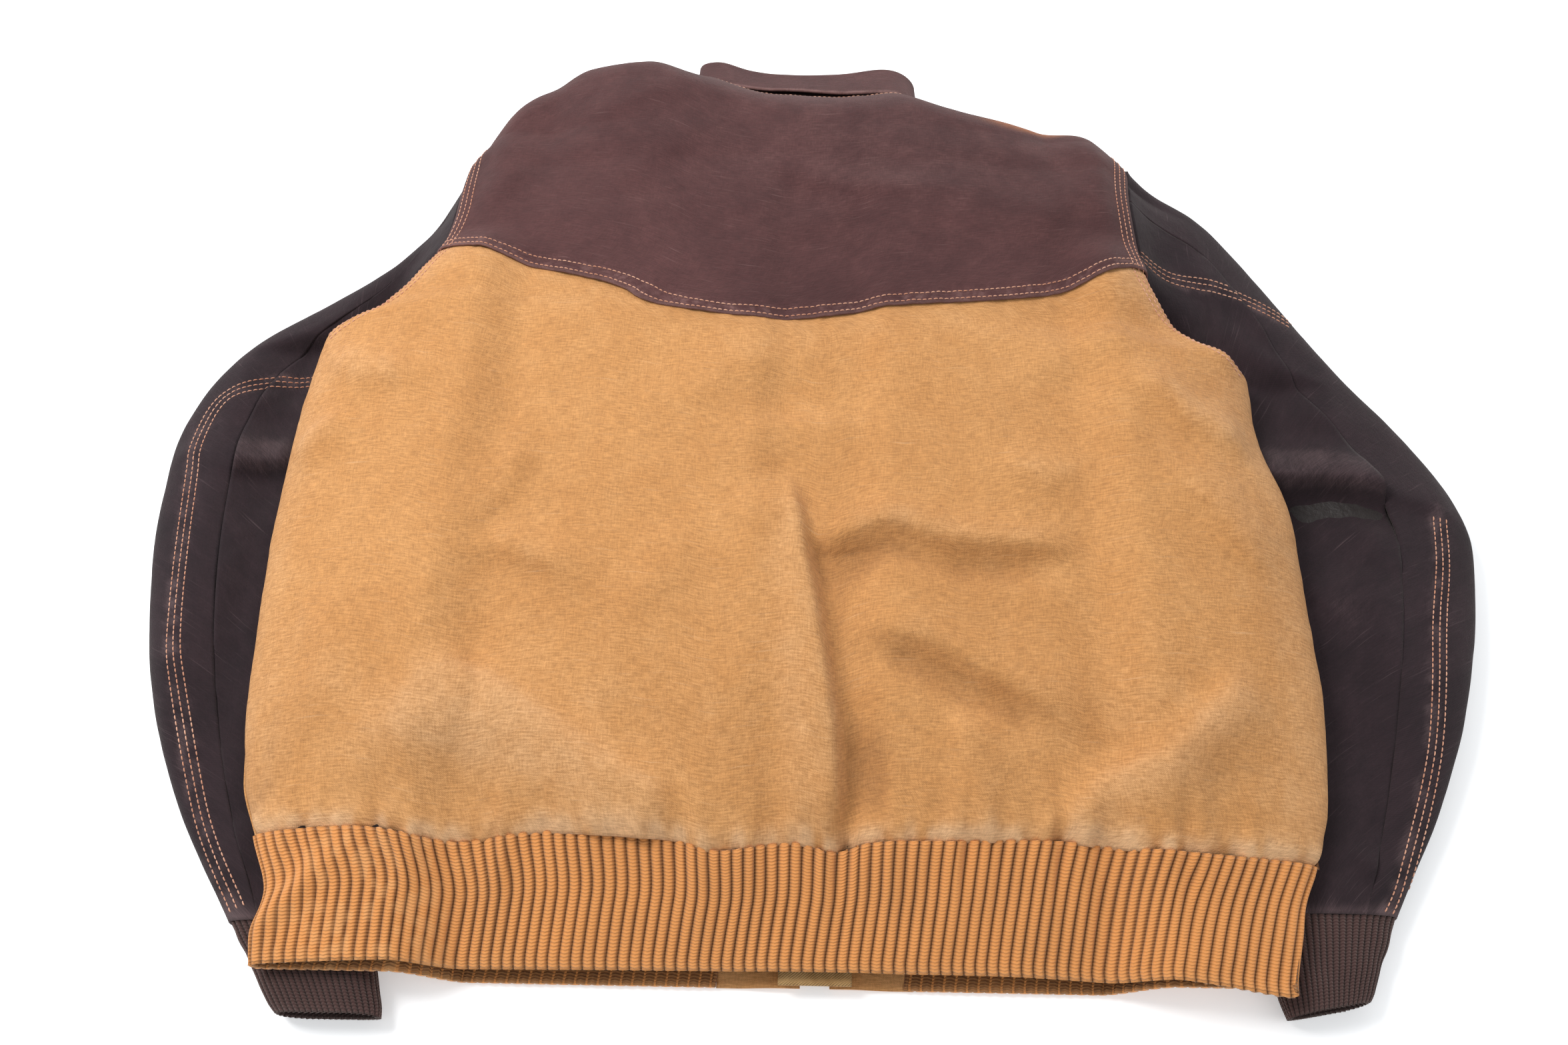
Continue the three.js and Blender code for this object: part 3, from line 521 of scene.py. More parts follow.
def duck_material(name, dark, base, pale, streak=0.6, stain=None):
    """Plain-weave cotton duck, with slubs in both directions, fading and wear, and dirt with painted shade
    in the fold hollows.
    """
    n = Nodes(name)
    uv = n.uv()
    weft = n.noise(n.stretch(uv, 120, 900), 1.0, 4.0, 0.7)
    warp = n.noise(n.stretch(uv, 900, 140), 1.0, 4.0, 0.7)
    slub = n.noise(n.stretch(uv, 28, 620), 1.0, 2.0, 0.5)
    cloud = n.noise(uv, 9.0, 4.0, 0.6, 0.4)
    blotch = n.noise(uv, 38.0, 4.0, 0.65, 0.5)
    fleck = n.noise(uv, 900.0, 2.0, 0.7)
    threads = n.add(n.times(weft, 0.62), n.times(warp, 0.38))
    tone = n.add(n.times(cloud, 0.55), n.times(blotch, 0.45))
    color = n.mix(n.ramp(tone, 0.32, 0.68), dark, base)
    wear = n.attribute("wear")
    worn = n.add(wear, n.vary(blotch, 0.5))
    fade = n.ramp(n.add(worn, n.vary(threads, 0.7)), 0.1, 1.15)
    color = n.mix(n.times(fade, 0.52), color, pale)
    thread = n.ramp(threads, 0.3, 0.7, -streak, streak)
    light = n.mix(1.0, color, (1.28, 1.25, 1.22, 1.0), "MULTIPLY")
    shade = n.mix(1.0, color, (0.66, 0.62, 0.60, 1.0), "MULTIPLY")
    color = n.mix(n.add(n.times(thread, 0.75), 0.5), shade, light)
    color = n.mix(n.ramp(slub, 0.62, 0.8, 0.0, 0.2), color, pale)
    color = n.mix(n.ramp(fleck, 0.72, 0.86, 0.0, 0.35), color, pale)
    # The dirt channel holds real dirt and also painted shade in the fold hollows; both darken the colour
    # here.
    dirt = n.attribute("dirt")
    grime_and_shade = n.ramp(n.add(dirt, n.vary(blotch, 0.7)), 0.15, 1.1, 0.0, 0.6)
    color = n.mix(grime_and_shade, color, n.mix(1.0, color, (0.52, 0.47, 0.45, 1.0), "MULTIPLY"))
    if stain:
        patch = n.times(n.attribute("stain"), n.add(blotch, 0.4))
        color = n.mix(n.ramp(patch, 0.1, 0.9, 0.0, 0.75), color, stain)
    weave_x = n.math("SINE", n.times(n.node("SeparateXYZ", {0: uv}, 0), WARP_TURNS))
    weave_y = n.math("SINE", n.times(n.node("SeparateXYZ", {0: uv}, 1), WEFT_TURNS))
    weave = n.times(weave_x, weave_y)
    height = n.add(n.times(threads, 0.9), n.times(weave, 0.08))
    height = n.add(height, n.times(n.noise(uv, 230.0, 4.0, 0.6), 0.7))
    rough = n.ramp(threads, 0.2, 0.8, 0.82, 0.95)
    return n.finish(color, rough, height, 0.0007, 0.08, (1, 0.9, 0.82, 1))


def knit_material(name, dark, base, pale, pitch):
    """Rib knit: a chain of slanted loops down every rib, with painted shade in the valleys between ribs,
    pilling and a little fuzz.
    """
    n = Nodes(name)
    uv = n.uv()
    u = n.node("SeparateXYZ", {0: uv}, 0)
    v = n.node("SeparateXYZ", {0: uv}, 1)
    rib = n.math("PINGPONG", n.math("DIVIDE", u, pitch / 2000), 1.0)
    course = n.add(n.times(v, 2 * math.pi / KNIT_COURSE), n.times(rib, 2.6))
    loop = n.add(n.times(n.math("SINE", course), 0.5), 0.5)
    fuzz = n.noise(uv, 1400.0, 3.0, 0.7)
    cloud = n.noise(n.stretch(uv, 26, 12), 1.0, 3.0, 0.6)
    ridge = n.attribute("ridge")
    # Painted shade: the valleys between ribs go towards the dark colour, the ridges towards the base colour.
    color = n.mix(n.ramp(n.add(ridge, n.vary(cloud, 0.6)), 0.0, 0.95), dark, base)
    color = n.mix(n.times(loop, 0.22), color, pale)
    color = n.mix(n.ramp(fuzz, 0.55, 0.85, 0.0, 0.35), color, pale)
    color = n.mix(n.times(n.attribute("wear"), 0.6), color, pale)
    height = n.add(n.times(loop, 0.8), n.times(fuzz, 0.5))
    return n.finish(color, 0.93, height, 0.0006, 0.2, (1, 0.9, 0.8, 1))


def thread_material(name, color, pale):
    n = Nodes(name)
    place = n.place()
    twist = n.noise(place, 2600.0, 2.0, 0.6)
    fade = n.noise(place, 24.0, 3.0, 0.6)
    shade = n.mix(n.ramp(fade, 0.3, 0.7), color, pale)
    return n.finish(n.mix(n.ramp(twist, 0.4, 0.7, 0.0, 0.4), shade, pale), 0.7, twist, 0.0002, 0.2)


def quilt_material(name, base, seam):
    n = Nodes(name)
    uv = n.uv()
    fine = n.noise(n.stretch(uv, 1500, 300), 1.0, 2.0, 0.6)
    color = n.mix(n.ramp(n.attribute("seam"), 0.5, 1.0, 0.0, 0.8), n.mix(fine, base, seam), seam)
    return n.finish(color, n.ramp(fine, 0.2, 0.8, 0.42, 0.6), n.noise(uv, 160.0, 4.0, 0.6), 0.0012, 0.1)


def twill_material(name, base, pale):
    n = Nodes(name)
    uv = n.uv()
    slant = n.node("TexWave", {"Vector": n.stretch(uv, 1, 1, 1, 0.9), "Scale": 260.0, "Distortion": 1.5}, 1)
    color = n.mix(n.ramp(n.noise(uv, 60.0, 4.0), 0.3, 0.7), base, pale)
    return n.finish(n.mix(n.times(slant, 0.35), color, pale), 0.88, slant, 0.0003, 0.15)


def brass_material(name):
    n = Nodes(name)
    place = n.place()
    tarnish = n.noise(place, 180.0, 5.0, 0.65)
    scratch = n.noise(n.stretch(place, 300, 60, 900), 1.0, 3.0, 0.6)
    color = n.mix(n.ramp(tarnish, 0.35, 0.65), linear(206, 158, 84), linear(120, 82, 42))
    n.shader.inputs["Metallic"].default_value = 1.0
    return n.finish(color, n.ramp(scratch, 0.3, 0.7, 0.28, 0.5), scratch, 0.0001)


TAN = duck_material("tan_duck", linear(190, 136, 82), linear(200, 147, 92), linear(228, 192, 152))
BROWN = duck_material(
    "brown_duck", linear(70, 42, 43), linear(86, 54, 54), linear(150, 116, 112), 0.5, linear(158, 92, 48)
)
SLEEVE = duck_material(
    "brown_duck_sleeve", linear(34, 24, 29), linear(48, 35, 40), linear(124, 104, 106), 0.5
)
# In each rib material the first colour is painted shade for the valleys between ribs.
TAN_RIB = knit_material(
    "tan_rib", linear(112, 64, 30), linear(216, 140, 74), linear(228, 170, 112), RIB_PITCH
)
BROWN_RIB = knit_material(
    "brown_rib", linear(24, 15, 15), linear(68, 45, 42), linear(100, 76, 72), CUFF_PITCH
)
COPPER = thread_material("copper_thread", linear(186, 122, 92), linear(214, 164, 138))
QUILTING = quilt_material("quilted_lining", linear(46, 38, 36), linear(24, 20, 19))
TWILL = twill_material("facing_twill", linear(150, 112, 66), linear(186, 150, 100))
TAPE = twill_material("zip_tape", linear(120, 80, 44), linear(156, 112, 70))
BRASS = brass_material("worn_brass")

# ---------------------------------------------------------------- back panel and yoke
STEP = 2.5
QUARTER = math.pi / 2
# The height at which columns are evenly spaced, and the angle by which a piece stops short of the side fold.
MID_BODY, FOLD_GAP = 300.0, 0.004
# How far the panel runs under the yoke, how far the yoke stands off it, and how much the yoke's rows crowd
# towards the shoulder.
YOKE_LAP, YOKE_LIFT, YOKE_CROWD = 9, 1.9, 1.35
# The lowest that the panel may sink, so that it clears the lining.
DEEPEST = -6.5
STAIN_X, STAIN_WIDE, STAIN_Y, STAIN_HIGH = 186, 40, 662, 13


def back_points(angle, y, inset=0.0):
    share = np.cos(angle)
    x = centre(y) + (half_width(y) - inset) * share
    return np.stack(np.broadcast_arrays(x, y, back_height(x, y, share, inset)), -1)


def relief_of(points, share, kind):
    """How far the cloth stands out from its smooth shape, square to it."""
    x, y = points[..., 0], points[..., 1]
    edge = smoothstep(1 - np.abs(share), 0.0, 0.1)
    if kind == "panel":
        hem, seam = y - hem_seam(share), yoke_seam(share) - y
        total = 1.45 * fold_height(x, y, BACK_FOLDS) * lerp(0.35, 1, edge)
        total = total + undulation(x, y, 11) * smoothstep(seam, -5, 60)
        total = total + tuck_height(x, hem, 30) * edge
        total = total + pucker(x, hem, 8, 1.9, 14, 31)
        total = total + pucker(x, np.maximum(seam, 0), 8, 0.45, 10, 41)
        total = np.maximum(total, DEEPEST) - 3.2 * np.exp(-np.maximum(hem, 0) / 5)
        total = total + 0.8 * bell(hem - 10, 6)
        return total - 0.7 * bell(seam + 2, 4)
    seam, top = y - yoke_seam(share), shoulder_line(share) - y
    total = 0.75 * undulation(x, y, 67, 2.4, 0.9, 0.25) * smoothstep(seam, 0, 70) * smoothstep(top, 4, 50)
    total = total + fold_height(x, y, YOKE_FOLDS) * edge
    total = total + pucker(x, seam - 6, 6.5, 0.6, 8, 43)
    total = total + pucker(x, top, 9, 0.5, 10, 47)
    return total


YOKE_FOLDS = [
    ([(-40, 600), (10, 575), (70, 566), (150, 572)], 3.0, 16, 10, 0.4),
    ([(-160, 560), (-120, 590), (-70, 640)], 2.6, 22, 14, 0.4),
    ([(-30, 520), (30, 540), (50, 590)], 2.4, 18, 14, 0.4),
    ([(160, 520), (200, 560), (214, 620)], 3.0, 20, 14, 0.4),
    ([(-238, 540), (-222, 590), (-236, 640)], 3.0, 16, 12, 0.4),
    ([(240, 520), (228, 570), (240, 630)], 3.0, 14, 16, 0.4),
    ([(-180, 640), (-120, 668), (-70, 676)], 2.6, 18, 12, 0.4),
]


def back_wear(points, share, kind, relief):
    x, y = points[..., 0], points[..., 1]
    high = smoothstep(relief, 2.5, 10) * 0.25
    if kind == "panel":
        hem, seam = y - hem_seam(share), yoke_seam(share) - y
        band = bell(np.maximum(hem, 0), 11) * (0.85 + 0.75 * noise(x, hem * 0.3, 7, 71))
        low_left = 0.2 * spot(x + 215, 95, y - 135, 48)
        middle = 0.1 * spot(x + 90, 130, y - 150, 70)
        low_right = 0.16 * spot(x - 240, 60, y - 150, 60)
        right_edge = 0.3 * smoothstep(share, 0.8, 0.98)
        left_edge = 0.25 * smoothstep(-share, 0.85, 0.99)
        near_seam = 0.15 * bell(seam, 30)
        total = 0.1 + band + high + low_left + middle + low_right + right_edge + left_edge + near_seam
        return np.clip(total, 0, 1.3)
    seam, top = y - yoke_seam(share), shoulder_line(share) - y
    fold = 0.75 * bell(seam, 1.8) + 0.35 * bell(seam - 6, 5) * np.abs(noise(x, y, 5, 77) * 2)
    crown = 0.25 * bell(top, 30) + 0.2 * spot(x - 60, 140, y - 600, 60)
    return np.clip(0.06 + fold + crown + high * 0.8, 0, 1.2)


def dirt_at(points, relief):
    x, y = points[..., 0], points[..., 1]
    # Painted shade: the cloth is darkened where it sinks into fold valleys. The spots and smudges below are
    # dirt.
    hollow_shade = smoothstep(-relief, 0.6, 5) * 0.6
    spots = np.clip(noise(x, y, 70, 91) * noise(x, y, 31, 92) * 2.2, 0, 0.5)
    smudge = 0.42 * spot(x + 245, 34, y - 165, 40)
    smudge = smudge + 0.36 * spot(x - 268, 30, y - 130, 36)
    smudge = smudge + 0.22 * spot(x - 40, 60, y - 262, 26)
    return np.clip(hollow_shade + spots * 0.5 + smudge, 0, 1)


def back_piece(name, kind, node, material):
    columns = int(800 / STEP)
    t = even(lambda s: back_points(math.pi * (1 - s), np.full_like(s, MID_BODY)), columns)
    angles = math.pi - FOLD_GAP - t * (math.pi - 2 * FOLD_GAP)
    share = np.cos(angles)
    if kind == "panel":
        rows = int(440 / STEP)
        v = np.linspace(0, 1, rows)[:, None]
        y = lerp(hem_seam(share)[None], yoke_seam(share)[None] + YOKE_LAP, v)
    else:
        rows = int(300 / STEP)
        v = np.sin(np.linspace(0, 1, rows)[:, None] * YOKE_CROWD) / math.sin(YOKE_CROWD)
        y = lerp(yoke_seam(share)[None], shoulder_line(share)[None], v)
    share = np.broadcast_to(share, y.shape)
    points = back_points(np.broadcast_to(angles, y.shape), y)
    outward = normals(points)
    outward *= np.sign(outward[..., 2].mean())
    relief = relief_of(points, share, kind)
    lift = 0.0 if kind == "panel" else YOKE_LIFT
    shown = points + outward * (relief + lift)[..., None]
    wear = back_wear(points, share, kind, relief)
    # This dirt channel carries painted shade in the fold hollows as well as dirt.
    layers = {"wear": wear, "dirt": dirt_at(points, relief)}
    if kind == "yoke":
        layers["stain"] = spot(points[..., 0] - STAIN_X, STAIN_WIDE, points[..., 1] - STAIN_Y, STAIN_HIGH)
    piece = cloth(name, shown, flat_uv(shown), BACK_THICK, material, **layers)
    lay(piece, shown, node)


back_piece("back_body", "panel", "back_panel", TAN)
back_piece("back_yoke_shell", "yoke", "back_yoke", BROWN)

# ---------------------------------------------------------------- front, waistband and linings
PLACKET, TAB_WIDTH, FRONT_HEM, FRONT_LAP = 9.0, 48.0, -2.0, 6
TAB_EDGE = PLACKET + TAB_WIDTH


def body_points(angle, y, inset=0.0):
    share, up = np.cos(angle), np.sin(angle)
    x = centre(y) + (half_width(y) - inset) * share
    back = back_height(x, y, share, inset)
    front = front_height(x, y, share, inset)
    return np.stack(np.broadcast_arrays(x, y, np.where(up < 0, front, back)), -1)


def front_angle(x, y):
    return 2 * math.pi - np.arccos(share_at(x, y))


def in_neck(x):
    return np.abs(x - NECK_X) < NECK_HALF


def front_shoulder(x):
    """The shoulder seam over a place of the front, which is wider there than the shoulders are."""
    return shoulder_line(share_at(x * 0.78, 642.0))


def front_piece(name, side, kind, node, material):
    columns, rows = int(330 / (STEP * 1.8)), int((420 if kind == "panel" else 200) / (STEP * 1.8))
    x_end = ZIP_CENTRE + side * PLACKET
    fold = math.pi if side < 0 else 2 * math.pi

    def ring(t, y):
        return body_points(lerp(fold - side * FOLD_GAP, front_angle(x_end, y), t), y)

    t = even(lambda s: ring(s, np.full_like(s, MID_BODY)), columns)
    x = ring(t, np.full_like(t, MID_BODY))[:, 0]
    seam = front_yoke_seam(share_at(x, MID_BODY))
    top = np.where(in_neck(x), front_neck(x), front_shoulder(x) - 0.5)
    grid = []
    for row in range(rows):
        v = row / (rows - 1)
        grid.append(ring(t, lerp(WAISTBAND, seam + FRONT_LAP, v) if kind == "panel" else lerp(seam, top, v)))
    points = np.array(grid)
    outward = normals(points)
    outward *= -np.sign(outward[..., 2].mean())
    x, y = points[..., 0], points[..., 1]
    relief = 0.7 * noise(x, y, 60, 101) + 0.3 * noise(x, y, 22, 102)
    points = points + outward * (relief * 0.5 - (0.9 if kind == "panel" else 0.2))[..., None]
    points[..., 2] = np.maximum(points[..., 2], 0.4)
    seam_wear = 0.5 * bell(y - WAISTBAND, 8)
    piece = cloth(
        name, points, flat_uv(points), FRONT_THICK, material, flip=side < 0,
        wear=np.clip(0.15 + seam_wear, 0, 1), dirt=np.clip(noise(x, y, 60, 103) * 0.5, 0, 1),
    )
    lay(piece, points, node)


for side, word in SIDES:
    front_piece(f"{word}_front_shell", side, "panel", f"{word}_front_panel", TAN)
    front_piece(f"{word}_front_yoke_shell", side, "yoke", f"{word}_front_yoke", BROWN)


def hem_edge(angle):
    return lerp(FRONT_HEM, back_hem(np.cos(angle)), smoothstep(np.sin(angle), -0.2, 0.25))


def rib_wave(place, height):
    """The round ridges of a rib knit, one to each unit of place, with a narrow valley between each two."""
    part = 2 * (place - np.floor(place)) - 1
    return height * (np.sqrt(np.maximum(1 - part**2, 0)) - 1), 1 - np.abs(part) ** 1.7


def waistband():
    columns = WAIST_RIBS * 9 + 1
    rows = 30
    grid = []
    for row in range(rows):
        v = row / (rows - 1)

        def ring(t):
            low, high = front_angle(ZIP_CENTRE + TAB_EDGE, 20.0), front_angle(ZIP_CENTRE - TAB_EDGE, 20.0)
            angle = lerp(low - 2 * math.pi, high, t)
            top = np.where(np.sin(angle) > 0, hem_seam(np.cos(angle)), WAISTBAND)
            y = lerp(hem_edge(angle), top + 1.5, v)
            return body_points(angle, y)

        t = even(ring, columns, 1600)
        grid.append(ring(t))
    points = np.array(grid)
    outward = normals(points)
    outward *= np.sign(outward[rows // 2, columns // 3, 2])
    place = np.broadcast_to(np.linspace(0, WAIST_RIBS, columns), points.shape[:2])
    v = np.linspace(0, 1, rows)[:, None]
    sway = 0.5 * noise(place * 0.9, v * 2.0, 9, 131)
    wave, ridge = rib_wave(place, WAIST_RIB_HIGH)
    x = points[..., 0]
    gather = tuck_height(x, (1 - v) * 70, 34) * (points[..., 2] > 20)
    ripple = 1.5 * noise(x * 1.3, v * 60, 34, 133) + 0.9 * noise(x, v * 40, 15, 135)
    lift = wave + (gather * 0.7 + ripple) * smoothstep(v, -0.1, 0.3)
    left_end = bell(x + 296, 30) * (points[..., 2] > 12)
    lift = lift + left_end * 5.5 * bell(v - 0.25 - (x + 318) / 90, 0.16)
    shown = points + outward * lift[..., None]
    along = np.gradient(points, axis=1)
    along /= np.linalg.norm(along, axis=2, keepdims=True)
    shown = shown + along * (sway * 2.0)[..., None]
    hem_round = bell(v, 0.045) * 0.9
    shown = shown - outward * hem_round[..., None]
    shown[..., 2] = np.maximum(shown[..., 2], 0.3)
    uv = np.stack(np.broadcast_arrays(place * RIB_PITCH, v * WAISTBAND), -1)
    pilling = np.clip(0.8 * bell(x + 250, 55) * (noise(x, v * 74, 6, 137) > 0.25), 0, 1)
    wear = np.clip(0.1 + pilling * 0.6 + 0.3 * bell(v, 0.06), 0, 1)
    piece = cloth("rib_waistband", shown, uv, WAIST_THICK, TAN_RIB, flip=True, wear=wear, ridge=ridge)
    lay(piece, shown, "waistband")


waistband()


def waist_tab(side, word):
    u, v = np.meshgrid(np.linspace(0, 1, 24), np.linspace(0, 1, 32))
    y = lerp(FRONT_HEM, WAISTBAND + 2, v)
    x = ZIP_CENTRE + side * lerp(TAB_EDGE + 3, PLACKET, u)
    points = body_points(front_angle(x, y), y, 0.2)
    points[..., 2] += 0.25 * noise(x, y, 14, 141)
    points[..., 2] = np.maximum(points[..., 2], 0.35)
    name = f"{word}_waist_tab_cloth"
    piece = cloth(name, points, flat_uv(points), TAB_THICK, TAN, flip=side < 0, wear=0.3, dirt=0.2)
    lay(piece, points, f"{word}_waist_tab")


for side, word in SIDES:
    waist_tab(side, word)

# The quilting's cell, its puff and its thickness, and how far the lining sinks below the middle of the back.
QUILT_CELL, QUILT_PUFF, QUILT_THICK, LINING_DEPTH = 52.0, 2.4, 2.2, 9.0


def quilted(points):
    """Height and seam of diamond quilting over a grid of points."""
    x, y = points[..., 0], points[..., 1]
    a, b = (x + y) / QUILT_CELL, (x - y) / QUILT_CELL
    near = np.minimum(np.abs(a - np.round(a)), np.abs(b - np.round(b))) * QUILT_CELL
    return QUILT_PUFF * (1 - np.exp(-near / 7)), bell(near, 1.6)


def lining(name, points, node, flip):
    height, seam = quilted(points)
    inward = normals(points) * (-1 if flip else 1)
    shown = points + inward * height[..., None]
    piece = cloth(name, shown, flat_uv(shown), QUILT_THICK, QUILTING, flip=flip, seam=seam)
    lay(piece, shown, node)


def back_lining():
    columns, rows = int(760 / 7), int(600 / 7)
    t = even(lambda s: back_points(math.pi * (1 - s), np.full_like(s, MID_BODY)), columns)
    angles = math.pi - 0.01 - t * (math.pi - 0.02)
    share = np.cos(angles)
    v = np.linspace(0, 1, rows)[:, None]
    y = lerp(WAISTBAND + 2, (shoulder_line(share) - 8)[None], v)
    points = back_points(np.broadcast_to(angles, y.shape), y, 8.6)
    inside = smoothstep(np.sin(angles), 0.15, 0.6)[None]
    points[..., 2] -= LINING_DEPTH * inside * smoothstep(y, WAISTBAND, 130) * smoothstep(700 - y, 0, 90)
    lining("back_quilting", points, "back_lining", False)


back_lining()


def front_lining(side, word):
    columns, rows = 44, 80
    x_end = ZIP_CENTRE + side * 20
    fold = math.pi if side < 0 else 2 * math.pi
    t = np.linspace(0, 1, columns)
    x = body_points(lerp(fold, front_angle(x_end, MID_BODY), t), np.full_like(t, MID_BODY))[:, 0]
    top = np.where(in_neck(x), front_neck(x), front_shoulder(x)) - 8
    grid = []
    for v in np.linspace(0, 1, rows):
        y = lerp(WAISTBAND + 2, top, v)
        end = front_angle(x_end, y)
        grid.append(body_points(lerp(fold - side * 0.01, end, t), y, 3.6))
    points = np.array(grid)
    lining(f"{word}_front_quilting", points, f"{word}_front_lining", side > 0)


for side, word in SIDES:
    front_lining(side, word)


# ---------------------------------------------------------------- sleeves
class Rail:
    """A smooth plan curve through points, with its parameter spread evenly over them."""

    def __init__(self, points):
        self.points = np.array(points, float)

    def at(self, t):
        last = len(self.points) - 1
        p = np.clip(np.asarray(t, float), 0, 1) * last
        i = np.clip(np.floor(p).astype(int), 0, last)
        w = (p - i)[..., None]
        pick = lambda k: self.points[np.clip(k, 0, last)]
        p0, p1, p2, p3 = pick(i - 1), pick(i), pick(i + 1), pick(i + 2)
        p0 = np.where((i == 0)[..., None], p1, p0)
        v0, v1 = (p2 - p0) * 0.5, (p3 - p1) * 0.5
        return (2 * p1 - 2 * p2 + v0 + v1) * w**3 + (-3 * p1 + 3 * p2 - 2 * v0 - v1) * w**2 + v0 * w + p1

    def tangent(self, t):
        t = np.asarray(t, float)
        d = self.at(np.minimum(t + 1e-4, 1)) - self.at(np.maximum(t - 1e-4, 0))
        return d / np.linalg.norm(d, axis=-1, keepdims=True)


ARMS = {
    "left": dict(
        side=-1,
        outer=Rail([(-268, 640), (-318, 545), (-415, 462), (-450, 395), (-453, 330), (-444, 255),
                    (-424, 180), (-390, 102), (-341, 28)]),
        inner=Rail([(-356, 462), (-318, 440), (-278, 405), (-256, 355), (-250, 300), (-248, 240),
                    (-246, 170), (-246, 95), (-254, 28)]),
        mouth=((-303, -25), (-238, -25)),
    ),
    "right": dict(
        side=1,
        outer=Rail([(271, 648), (330, 590), (405, 455), (450, 385), (476, 320), (470, 262), (446, 180),
                    (416, 112), (376, 44)]),
        inner=Rail([(337, 438), (300, 422), (262, 395), (246, 350), (246, 300), (248, 250), (254, 190),
                    (268, 110), (292, 44)]),
        mouth=((352, -6), (300, -16)),
    ),
}
ARMHOLE_SEAM, HEAD, ARM_ROUND = 3.2, 0.13, 0.6
ARM_FLAT = math.sin(math.pi / 3) ** ARM_ROUND


def side_of(side, y):
    return left_side(y) if side < 0 else right_side(y)


def arm_rise(angle):
    up = np.sin(angle)
    return np.clip(0.5 + (np.sign(up) * np.abs(up) ** ARM_ROUND) / (2 * ARM_FLAT), 0, 1)


def sleeve_points(arm, angle, t, inset=0.0):
    """A point of the sleeve: angle 0 is its inner fold and half a turn its outer fold."""
    side, outer, inner = arm["side"], arm["outer"], arm["inner"]
    angle, t = np.broadcast_arrays(angle, t)
    share = ((1 + np.cos(angle)) / 2)[..., None]
    shoulder, armpit = outer.at(np.zeros_like(t)), inner.at(np.zeros_like(t))
    seam_y = lerp(shoulder[..., 1], armpit[..., 1], share[..., 0])
    seam_x = side_of(side, seam_y) + side * ARMHOLE_SEAM
    seam = np.stack([seam_x, seam_y], -1)
    head = 1 - smoothstep(t, 0, HEAD)
    skin = lerp(lerp(outer.at(t), inner.at(t), share), seam, head[..., None])
    end = smoothstep(t, 1 - HEAD, 1)
    across = inner.at(t) - outer.at(t)
    across /= np.linalg.norm(across, axis=-1, keepdims=True)
    square = lambda fold, turn: np.stack([-fold.tangent(t)[..., 1], fold.tangent(t)[..., 0]], -1) * turn
    from_outer = lerp(square(outer, -side), across, np.maximum(head, end)[..., None])
    from_inner = lerp(square(inner, side), -across, end[..., None])
    at = skin + from_outer * inset * (1 - share) + from_inner * inset * share
    outside = side * (at[..., 0] - side_of(side, at[..., 1]))
    free = smoothstep(outside, 14, 60) * smoothstep(1 - t, 0, 0.3)
    raised = head * smoothstep(outside, -9, 0)
    fold = underside(seam_x, seam_y) + RIM
    pit = smoothstep(share[..., 0], 0.55, 0.88)
    floor = lerp(0.2, lerp(fold - 3, 1, pit), raised)
    seam_roof = fold + np.maximum(armhole_gap(seam_y), 13)
    roof = lerp(SLEEVE_LOFT + SLEEVE_PUFF * free, lerp(seam_roof, SLEEVE_LOFT - 3, pit), raised)
    z = lerp(floor + inset, roof - inset, arm_rise(angle))
    return np.concatenate([at, z[..., None]], -1)


SLEEVE_FOLDS = {
    "left": [
        ([(-300, 456), (-345, 410), (-358, 366)], 7.0, 12, 18, 0.3),
        ([(-452, 366), (-410, 350), (-352, 358)], 11.0, 22, 8, 0.2),
        ([(-440, 400), (-392, 408), (-350, 396)], 3.0, 12, 12, 0.3),
        ([(-380, 340), (-392, 260), (-384, 180)], 3.0, 20, 14, 0.4),
        ([(-430, 250), (-416, 180), (-384, 110)], 2.4, 14, 12, 0.4),
        ([(-330, 100), (-352, 70), (-340, 40)], 2.5, 12, 10, 0.3),
    ],
    "right": [
        ([(290, 560), (330, 520), (372, 470)], 3.5, 16, 12, 0.35),
        ([(330, 500), (380, 468), (420, 440)], 3.5, 16, 12, 0.35),
        ([(318, 354), (379, 350), (432, 332), (472, 322)], 15.0, 24, 7, 0.14),
        ([(320, 338), (380, 333), (440, 314)], -6.0, 7, 16, 0.3),
        ([(345, 420), (392, 398), (440, 388)], 3.0, 16, 12, 0.4),
        ([(352, 300), (380, 240), (372, 170)], 3.0, 20, 14, 0.4),
        ([(452, 300), (440, 230), (414, 150)], 3.0, 14, 14, 0.4),
        ([(350, 90), (368, 66), (380, 50)], 3.0, 10, 8, 0.3),
    ],
}
SEAMS = {
    "left": [
        [(-359, 437), (-393, 429), (-427, 409), (-437, 370), (-432, 311), (-419, 220), (-406, 174),
         (-374, 90), (-338, 31)],
    ],
    "right": [
        [(449, 320), (443, 283), (430, 235), (410, 146), (380, 70), (366, 45)],
        [(262, 532), (312, 519), (347, 503), (379, 486)],
    ],
}
# Two points on the right side, as x, y and height, the left mirroring them; blend_sleeve reads them but does
# not bend the cloth.
SLEEVE_BEND = ((300, 545, 25), (412, 400, 25))


def sleeve_relief(word, points, t, angle):
    x, y = points[..., 0], points[..., 1]
    top = smoothstep(np.sin(angle), 0.0, 0.5)
    total = fold_height(x, y, SLEEVE_FOLDS[word]) * top
    seed = 201 if word == "left" else 231
    total = total + 2.0 * noise(x + y * 0.4, y, 60, seed) + 1.0 * noise(x, y, 26, seed + 1)
    total = total + 0.3 * noise(x, y, 9, seed + 2)
    for path in SEAMS[word]:
        total = total - crease(x, y, path, 1.1, 3.5, 3.5, 0) * top
        total = total + crease(x, y, path, 1.2, 13, 6, 0) * top * (1 + 0.5 * noise(x, y, 8, seed + 3))
    return total * smoothstep(t, 0.0, 0.08) * lerp(0.3, 1, smoothstep(1 - t, 0, 0.06))


